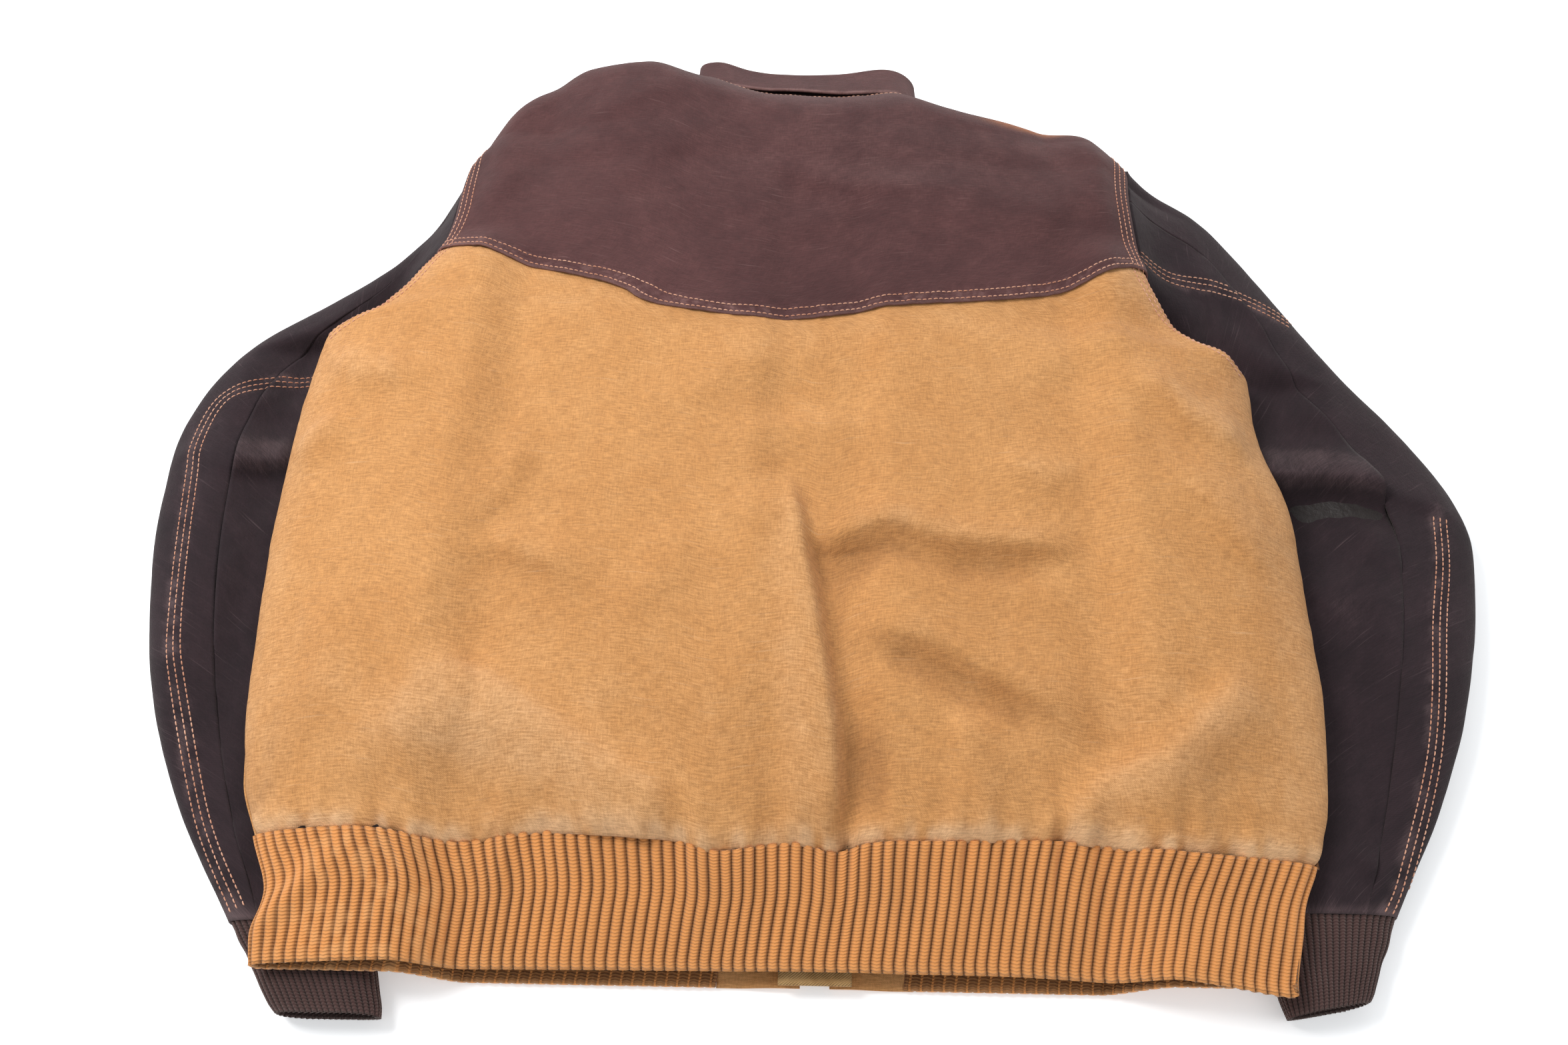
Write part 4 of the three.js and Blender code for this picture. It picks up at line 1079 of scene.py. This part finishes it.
def sleeve_wear(word, points, t, relief):
    x, y = points[..., 0], points[..., 1]
    total = 0.05 + 0.55 * bell(1 - t, 0.02) + 0.35 * smoothstep(relief, 2.5, 8)
    for path in SEAMS[word]:
        total = total + crease(x, y, path, 0.42, 11, 5, 0) * (0.8 + 0.6 * noise(x, y, 7, 251))
    return np.clip(total, 0, 1.2)


def blend_sleeve(piece, word):
    start, end = (metres((ARMS[word]["side"] * x, y, z)) for x, y, z in SLEEVE_BEND)
    tuple(start)
    tuple(end)
    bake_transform(piece)


def sleeve_shell(word):
    arm = ARMS[word]
    rows = int(720 / (STEP * 1.15))
    for part, low in (("top", -math.pi / 3), ("under", 2 * math.pi / 3)):
        high = low + math.pi
        columns = int(230 / STEP)
        t = even(lambda s: sleeve_points(arm, math.pi / 2, s), rows, 900)[:, None]
        grid = []
        for row in range(rows):
            ring = lambda s: sleeve_points(arm, lerp(low, high, s), np.full_like(s, t[row, 0]))
            grid.append(lerp(low, high, even(ring, columns, 160)))
        angle = np.array(grid)
        t = np.broadcast_to(t, angle.shape)
        points = sleeve_points(arm, angle, t)
        outward = normals(points)
        sign = np.sign(outward[rows // 2, columns // 2, 2]) * (1 if part == "top" else -1)
        outward = outward * sign
        relief = sleeve_relief(word, points, t, angle) * (1 if part == "top" else 0.25)
        shown = points + outward * (relief + 0.2)[..., None]
        side = arm["side"]
        tuck = 1 - smoothstep(t, 0, 0.012)
        shown[..., 0] -= side * tuck * 9
        shown[..., 2] -= tuck * 1.8 * smoothstep(np.sin(angle), -0.2, 0.4)
        shown[..., 2] = np.maximum(shown[..., 2], 0.4)
        # The sleeves' dirt channel carries painted shade in their fold hollows as well as dirt.
        piece = cloth(
            f"{word}_sleeve_{part}_cloth", shown, flat_uv(shown), SLEEVE_THICK, SLEEVE, flip=sign < 0,
            wear=sleeve_wear(word, points, t, relief), dirt=dirt_at(points, relief) * 0.5,
        )
        lay(piece, shown, f"{word}_sleeve_{part}", body=None)
        blend_sleeve(piece, word)


def sleeve_lining(word):
    arm = ARMS[word]
    angle = np.linspace(0, 2 * math.pi, 49)[:-1][None]
    t = np.linspace(0.23, 0.985, 80)[:, None]
    points = sleeve_points(arm, angle, t, 6.2)
    piece = cloth(
        f"{word}_sleeve_quilting", points, flat_uv(points), SLEEVE_QUILT_THICK, QUILTING, wrap=True, seam=0.0
    )
    lay(piece, points, f"{word}_sleeve_lining", body=None, wrap=True)
    blend_sleeve(piece, word)


def cuff(word):
    arm = ARMS[word]
    outer, inner = (np.array(p, float) for p in arm["mouth"])
    columns, rows = CUFF_RIBS * 8, 22

    def ring(t, v):
        angle = t * 2 * math.pi
        start = sleeve_points(arm, angle, np.ones_like(t), 0.6)
        share = ((1 + np.cos(angle)) / 2)[..., None]
        mouth = lerp(outer, inner, share)
        end = np.concatenate([mouth, lerp(0.2, SLEEVE_LOFT - 2, arm_rise(angle))[..., None]], -1)
        return lerp(start, end, v)

    grid = []
    for v in np.linspace(-0.06, 1, rows):
        t = even(lambda s: ring(s, v), columns + 1, 700)[:-1]
        grid.append(ring(t, v))
    points = np.array(grid)
    padded = np.concatenate([points[:, -2:], points, points[:, :2]], axis=1)
    outward = normals(padded)[:, 2:-2]
    middle = points.mean(axis=1, keepdims=True)
    outward *= np.sign((outward * (points - middle)).sum())
    place = np.broadcast_to(np.arange(columns) / columns * CUFF_RIBS, points.shape[:2])
    wave, ridge = rib_wave(place, CUFF_RIB_HIGH)
    v = np.linspace(0, 1, rows)[:, None]
    lift = wave + 0.9 * noise(points[..., 0], points[..., 1], 14, 261) * smoothstep(v, 0, 0.2)
    lift = lift - 0.9 * bell(1 - v, 0.05)
    shown = points + outward * lift[..., None]
    shown[..., 2] = np.maximum(shown[..., 2], 0.3)
    uv = np.stack(np.broadcast_arrays(place * CUFF_PITCH, v * CUFF_LONG), -1)
    sign = np.sign((normals(padded)[:, 2:-2] * outward).sum())
    piece = cloth(
        f"{word}_rib_cuff", shown, uv, CUFF_THICK, BROWN_RIB, wrap=True, flip=sign < 0,
        wear=0.12 + 0.4 * bell(1 - v, 0.06), ridge=ridge,
    )
    lay(piece, shown, f"{word}_cuff", body=f"{word}_sleeve", wrap=True)


for word in ARMS:
    sleeve_shell(word)
    sleeve_lining(word)
    cuff(word)

# ---------------------------------------------------------------- collar
COLLAR_STAND, COLLAR_RISE, COLLAR_FALL, FOLD_RADIUS, DROOP = 27.0, 12.5, 35.0, 1.6, 0.36
# The collar's fold stands higher over each side of the neck than over its middle.
COLLAR_WAVE = profile((0.1, 0), (0.75, 13), (1.2, 5), (1.7, -5), (2.1, -3), (2.5, 8), (3.1, 0))
COLLAR_START = -math.pi / 2 + math.asin((PLACKET + ZIP_CENTRE - NECK_X) / NECK_HALF) + 0.02
COLLAR_END = 3 * math.pi / 2 - 0.02


def yoke_top(x):
    share = share_at(x, 645.0)
    for _ in range(4):
        share = share_at(x, shoulder_line(share))
    y = shoulder_line(share)
    return y, back_height(x, y, share)


def neck_ring(angle, outward):
    share, up = np.cos(angle), np.sin(angle)
    x = NECK_X + (NECK_HALF + outward) * share
    low = underside(x, NECK_FRONT) + 2.4
    back_y, _ = yoke_top(x)
    _, crown = yoke_top(np.array(NECK_X))
    side = back_y + 0.4 * (1 + 6 * (1 - np.maximum(up, 0)))
    y = np.where(up < 0, lerp(side, front_neck(x) + 0.8, up**2), side)
    return np.stack([x, y, lerp(low, crown, (up + 1) / 2) + outward * up], -1)


def raised(foot, angle, rise):
    foot[:, 1] += rise
    foot[:, 2] -= rise * DROOP * (1 + np.sin(angle)) / 2
    return foot


def collar():
    columns = 200
    angle = lerp(COLLAR_START, COLLAR_END, np.linspace(0, 1, columns))
    rows = []
    for v in np.linspace(-0.12, 1.05, 16):
        row = raised(neck_ring(angle, 0.0), angle, v * COLLAR_STAND)
        row[:, 2] += 0.35 * noise(angle * 60, v * 20, 9, 301)
        rows.append(row)
    points = np.array(rows)
    turned_in = normals(points)[8, columns // 2, 2] < 0
    wear = np.clip(0.25 + 0.5 * bell(np.linspace(0, 1, 16)[:, None], 0.1), 0, 1)
    piece = cloth(
        "collar_stand_cloth", points, flat_uv(points), STAND_THICK, BROWN,
        flip=turned_in, wear=wear, dirt=0.1,
    )
    lay(piece, points, "collar_stand")

    turn = math.pi * (FOLD_RADIUS + 1.2)
    length = COLLAR_RISE + turn + COLLAR_FALL
    s = np.r_[
        np.linspace(-3, COLLAR_RISE, 10), np.linspace(COLLAR_RISE, COLLAR_RISE + turn, 10)[1:],
        np.linspace(COLLAR_RISE + turn, length, 18)[1:],
    ]
    radius = FOLD_RADIUS + 2.4
    rows = []
    for d in s:
        turned = np.clip((d - COLLAR_RISE) / turn, 0, 1) * math.pi
        run = min(d, COLLAR_RISE) - max(d - COLLAR_RISE - turn, 0)
        out = FOLD_RADIUS - radius * math.cos(turned)
        fallen = smoothstep(d, COLLAR_RISE + turn, length)
        flare = fallen * (1.0 + 0.8 * noise(angle * 40, 0, 22, 305))
        crest = 1 - np.abs(2 * np.clip(d / length, 0, 1) - 1)
        wave = COLLAR_WAVE(angle) * crest + fallen * 1.2 * noise(angle * 50, 3, 17, 307)
        rise = COLLAR_STAND + 0.4 + run + radius * math.sin(turned)
        rows.append(raised(neck_ring(angle, out + flare), angle, rise + wave))
    points = np.array(rows)
    turned_out = normals(points)[4, columns // 2, 2] > 0
    edge = bell(s - COLLAR_RISE - turn / 2, 3.5) + bell(s - length, 3.0)
    wear = np.clip(0.15 + 0.9 * edge[:, None] * (1 + 0.3 * noise(angle * 60, 0, 5, 309))[None], 0, 1.3)
    piece = cloth(
        "collar_leaf_cloth", points, flat_uv(points), LEAF_THICK, BROWN,
        flip=turned_out, wear=wear, dirt=0.1,
    )
    lay(piece, points, "collar_leaf")


collar()


LOOP_RADIUS, LOOP_WIDE, LOOP_THICK = 11, 5, 1.8


def hanger_loop():
    foot = neck_ring(np.array([QUARTER]), -2.9)[0]
    angle = np.linspace(0, math.pi, 40)[None]
    radius = np.linspace(LOOP_RADIUS + LOOP_WIDE, LOOP_RADIUS, 7)[:, None]
    rise = COLLAR_STAND - 4 - radius * np.sin(angle)
    crown = 0.3 * np.sin(np.linspace(0, math.pi, 7))[:, None]
    points = np.stack(np.broadcast_arrays(
        foot[0] + radius * np.cos(angle), foot[1] + rise, foot[2] - 0.8 - rise * DROOP + crown), -1)
    piece = cloth("hanger_loop_strap", points, flat_uv(points), LOOP_THICK, BROWN, wear=0.3, dirt=0.1)
    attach(piece, "torso")
    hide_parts("hanger_loop")


hanger_loop()

# ---------------------------------------------------------------- pockets, welts, tapes and facing
POCKET_TOP, POCKET_DEEP, POCKET_HALF, POCKET_CORNER, FLAP_DEEP = 390.0, 128.0, 54.0, 14.0, 52.0
WELT_WIDE, WELT_LONG, WELT_TURN, WELT_MIDDLE = 20.0, 150.0, 0.2, 170.0
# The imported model's thickness of pockets, flaps and welts; the cloth shown is thinner.
POCKET_THICK, WELT_THICK = 2.0, 1.8
POCKET_CLOTH, FLAP_CLOTH, WELT_CLOTH = 1.3, 1.5, 1.1


def face_down(name, points, node, body, thickness, material, wear):
    piece = cloth(name, points, flat_uv(points), thickness, material, flip=True, wear=wear, dirt=0.15)
    lay(piece, points, node, body=body)


def pocket_set(side, word):
    x = ZIP_CENTRE + side * 148 - 8
    foot = POCKET_TOP - POCKET_DEEP
    u, y = np.meshgrid(np.linspace(-1, 1, 32), np.linspace(foot, POCKET_TOP, 40))
    half = POCKET_HALF - np.clip(POCKET_CORNER - (y - foot), 0, POCKET_CORNER)
    points = np.stack([u * half + x, y, np.full_like(u, POCKET_HEIGHT - LAYER - POCKET_THICK)], -1)
    points[..., 2] += LAYER + 0.25 * noise(points[..., 0], y, 18, 401)
    wear = 0.15 + 0.5 * bell(y - foot, 4)
    face_down(f"{word}_pocket_cloth", points, f"{word}_pocket", "torso", POCKET_CLOTH, TAN, wear)

    top, half = POCKET_TOP + 12, POCKET_HALF + 3
    u, v = np.meshgrid(np.linspace(-1, 1, 44), np.linspace(0, 1, 26))
    low = top - FLAP_DEEP + np.abs(u) * 14 - (1 - np.abs(u)) * 4
    y = lerp(low, top, v)
    z = POCKET_HEIGHT - 2 * (LAYER + POCKET_THICK) + 0.1 + 0.2 * noise(u * 60, v * 50, 18, 403)
    points = np.stack([x + u * half, y, z], -1)
    wear = 0.15 + 0.7 * bell(v, 0.04)
    face_down(
        f"{word}_pocket_flap_cloth", points, f"{word}_pocket_flap", f"{word}_flap",
        FLAP_CLOTH, BROWN, wear,
    )

    u, v = np.meshgrid(np.linspace(-0.5, 0.5, 12), np.linspace(-0.5, 0.5, 60))
    turn = side * WELT_TURN
    across, along = u * WELT_WIDE, v * WELT_LONG
    points = np.stack([
        x + side * 6 + across * math.cos(turn) - along * math.sin(turn),
        WELT_MIDDLE + across * math.sin(turn) + along * math.cos(turn),
        POCKET_HEIGHT - LAYER - WELT_THICK + 0.5 * np.abs(2 * u) ** 4,
    ], -1)
    node = f"{word}_hand_welt"
    face_down(f"{word}_welt_cloth", points, node, "torso", WELT_CLOTH, BROWN, 0.3)


TAPE_WIDE, TAPE_THICK = 14.0, 0.8
FACING_HALF, FACING_THICK = 22.3, 1.1
ZIP_TOP, ZIP_FOOT = float(front_neck(ZIP_CENTRE)) - 6, ZIP_BOX_FOOT + 12.4


def tape(side, word):
    u, v = np.meshgrid(np.linspace(-0.5, 0.5, 15), np.linspace(0, 1, 220))
    x = ZIP_CENTRE + side * (1.7 + LAYER + 0.6 + TAPE_WIDE / 2) + u * TAPE_WIDE
    points = np.stack([x, lerp(ZIP_FOOT, ZIP_TOP, v), np.full_like(u, TAPE_BACK + TAPE_THICK)], -1)
    piece = cloth(f"{word}_tape_cloth", points, flat_uv(points), TAPE_THICK, TAPE)
    lay(piece, points, f"{word}_zip_tape")


def facing():
    """The strip behind the zip. Its foot shows as a pale edge under the hem."""
    u, v = np.meshgrid(np.linspace(-1, 1, 26), np.linspace(0, 1, 200))
    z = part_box("zip_guard")[1].z * 1000 - ORIGIN[2]
    x, y = ZIP_CENTRE + u * FACING_HALF, lerp(FRONT_HEM, ZIP_TOP - 8, v)
    points = np.stack([x, y, z + 0.15 * noise(u * 20, v * 600, 12, 421)], -1)
    piece = cloth("zip_facing", points, flat_uv(points), FACING_THICK, TWILL)
    lay(piece, points, "zip_guard")


for side, word in SIDES:
    pocket_set(side, word)
    tape(side, word)
facing()

for name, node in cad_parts.items():
    if any(part in name for part in ("teeth", "stop", "zip_box", "slider", "pull", "snap")):
        node.data.materials.clear()
        node.data.materials.append(BRASS)
        if any(part in name for part in ("slider", "zip_pull", "snap_cap", "zip_box")):
            bevel = node.modifiers.new("edges", "BEVEL")
            bevel.width, bevel.segments, bevel.limit_method = 0.0004, 3, "ANGLE"

# ---------------------------------------------------------------- stitching
COVER = [
    "back_body", "back_yoke_shell", "left_sleeve_top_cloth", "right_sleeve_top_cloth",
    "left_sleeve_under_cloth", "right_sleeve_under_cloth", "collar_leaf_cloth", "collar_stand_cloth",
]


def cover_tree(names):
    vertices, faces = [], []
    for name in names:
        data = bpy.data.objects[name].data
        base = len(vertices)
        co = np.empty(len(data.vertices) * 3, np.float32)
        data.vertices.foreach_get("co", co)
        vertices.extend(map(tuple, co.reshape(-1, 3)))
        sides = np.empty(len(data.loops), np.int32)
        data.loops.foreach_get("vertex_index", sides)
        faces.extend(map(tuple, sides.reshape(-1, 4) + base))
    return BVHTree.FromPolygons(vertices, faces)


TREE = cover_tree(COVER)


def drape(x, y):
    """The place and the direction of the cloth right under a point of the plan, in metres."""
    at = metres((x, y, 200.0))
    place, normal, _, _ = TREE.ray_cast(Vector(at), Vector((0, 0, -1)))
    if place is None:
        return None
    return np.array(place), np.array(normal if normal.z > 0 else -normal)


def resample(path, pitch):
    path = np.array(path, float)
    length = np.r_[0, np.cumsum(np.hypot(*np.diff(path, axis=0).T))]
    at = np.arange(pitch / 2, length[-1] - pitch / 2, pitch)
    return np.stack([np.interp(at, length, path[:, k]) for k in (0, 1)], -1)


def smooth_path(points, steps=24):
    return Rail(points).at(np.linspace(0, 1, steps * (len(points) - 1)))


def offset(path, distance):
    path = np.array(path, float)
    d = np.gradient(path, axis=0)
    d /= np.linalg.norm(d, axis=1, keepdims=True)
    return path + np.stack([-d[:, 1], d[:, 0]], -1) * distance


def stitches(name, paths, seed):
    """Rows of stitches that lie on the cloth, each a small arched bar of thread."""
    rng = np.random.default_rng(seed)
    ring = np.linspace(0, 2 * math.pi, 6, endpoint=False)
    stations = np.linspace(-1, 1, 5)
    vertices, faces = [], []
    for path in paths:
        line = resample(path, STITCH + STITCH_GAP)
        step = np.gradient(line, axis=0)
        step /= np.maximum(np.linalg.norm(step, axis=1, keepdims=True), 1e-9)
        for (x, y), (dx, dy) in zip(line, step):
            ends = []
            for s in (-0.5, 0.5):
                reach = s * STITCH * rng.uniform(0.9, 1.08)
                ends.append(drape(x + dx * reach, y + dy * reach))
            if None in ends:
                continue
            (a, na), (b, nb) = ends
            if np.linalg.norm(a - b) > 0.009:
                continue
            up = (na + nb) / 2
            up /= np.linalg.norm(up)
            run = (b - a) / max(np.linalg.norm(b - a), 1e-9)
            wide = np.cross(run, up)
            base = len(vertices)
            for s in stations:
                fat = THREAD * (1 - 0.45 * abs(s) ** 3) / 1000
                middle = lerp(a, b, (s + 1) / 2) + up * (THREAD * (0.55 - 0.9 * s * s)) / 1000
                for turn in ring:
                    vertices.append(middle + fat * (math.cos(turn) * wide * 1.15 + math.sin(turn) * up))
            for k in range(len(stations) - 1):
                near, far = base + k * 6, base + k * 6 + 6
                for j in range(6):
                    n = (j + 1) % 6
                    faces.append((near + j, near + n, far + n, far + j))
            last = base + 6 * (len(stations) - 1)
            faces.append((base + 3, base + 2, base + 1, base + 0))
            faces.append((base + 5, base + 4, base + 3, base + 0))
            faces.append((last, last + 1, last + 2, last + 3))
            faces.append((last, last + 3, last + 4, last + 5))
    return make_mesh(name, vertices, faces, material=COPPER)


def yoke_path(away):
    share = np.linspace(-0.985, 0.985, 400)
    y = yoke_seam(share) + away
    return np.stack([centre(y) + half_width(y) * share, y], -1)


# Each armhole's side, name, and the heights between which its stitches run.
ARMHOLE_ROWS = ((-1, "left", 456, 638), (1, "right", 434, 646))


def armhole_path(side, away, low, high):
    y = np.linspace(low, high, 160)
    return offset(np.stack([side_of(side, y), y], -1), side * away)


rows = [yoke_path(2.6), yoke_path(8.6)]
piece = stitches("yoke_stitches", rows, 11)
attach(piece, "torso")
for side, word, low, high in ARMHOLE_ROWS:
    rows = [armhole_path(side, away, low, high) for away in (4.0, 8.5, 13.0)]
    piece = stitches(f"{word}_armhole_stitches", rows, 13 + side)
    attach(piece, "torso")
    rows = [offset(smooth_path(path), away) for path in SEAMS[word] for away in (0.0, 4.6, 9.2)]
    piece = stitches(f"{word}_sleeve_stitches", rows, 17 + side)
    blend_sleeve(piece, word)
share = np.linspace(-0.27, 0.32, 120)
neck = np.stack([centre(690.0) + half_width(690.0) * share, shoulder_line(share) - 4.5], -1)
piece = stitches("neck_stitches", [neck], 19)
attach(piece, "torso")

# ---------------------------------------------------------------- light, floor and camera
# Each lamp: its place and what it faces in metres, its size in metres and its power in watts.
LAMPS = {
    "key": ((-1.35, 0.45, 1.95), (0, 0, 0), 0.9, 44),
    "fill": ((1.7, -1.0, 1.8), (0, 0, 0), 2.2, 7),
    "back": ((0.3, 2.0, 1.6), (0, 0.1, 0), 1.6, 18),
}
FLOOR_COLOR, FLOOR_GLOW = (0.86, 0.865, 0.87, 1), 0.34
SKY_COLOR, SKY_STRENGTH = (0.94, 0.97, 1.0, 1), 0.62
# The photo's camera: its place in the drawn frame, the way it faces, and its lens.
EYE, PITCH, YAW, ROLL, LENS, SENSOR = (12.51, -186.85, 877.64), 59.55, -2.0135, -0.9204, 31.99, 36.0


def studio():
    bpy.ops.mesh.primitive_plane_add(size=14, location=(0, 2, -0.0005))
    floor = bpy.context.object
    floor.name = "floor"
    n = Nodes("pale_floor")
    n.shader.inputs["Emission Color"].default_value = (1, 1, 1, 1)
    n.shader.inputs["Emission Strength"].default_value = FLOOR_GLOW
    floor.data.materials.append(n.finish(FLOOR_COLOR, 0.75))
    world = bpy.data.worlds.new("studio")
    world.use_nodes = True
    world.node_tree.nodes["Background"].inputs[0].default_value = SKY_COLOR
    world.node_tree.nodes["Background"].inputs[1].default_value = SKY_STRENGTH
    bpy.context.scene.world = world
    for name, (where, target, size, power) in LAMPS.items():
        lamp = bpy.data.lights.new(name, "AREA")
        lamp.size, lamp.energy = size, power
        placed = bpy.data.objects.new(name, lamp)
        placed.location = where
        placed.rotation_euler = (Vector(target) - Vector(where)).to_track_quat("-Z", "Y").to_euler()
        bpy.context.scene.collection.objects.link(placed)


def camera():
    pitch, yaw, roll = math.radians(PITCH), math.radians(YAW), math.radians(ROLL)
    forward = Vector((math.sin(yaw) * math.cos(pitch), math.cos(yaw) * math.cos(pitch), -math.sin(pitch)))
    right = Vector((math.cos(yaw), -math.sin(yaw), 0))
    up = right.cross(forward)
    turned = math.cos(roll) * right + math.sin(roll) * up
    upright = -math.sin(roll) * right + math.cos(roll) * up
    lens = bpy.data.cameras.new("photo_view")
    lens.lens, lens.sensor_width = LENS, SENSOR
    placed = bpy.data.objects.new("photo_view", lens)
    turn = Matrix((turned, upright, -forward)).transposed().to_4x4()
    placed.matrix_world = Matrix.Translation(Vector(metres(EYE))) @ turn
    bpy.context.scene.collection.objects.link(placed)
    bpy.context.scene.camera = placed


studio()
camera()
bpy.context.scene.view_settings.view_transform = "Standard"
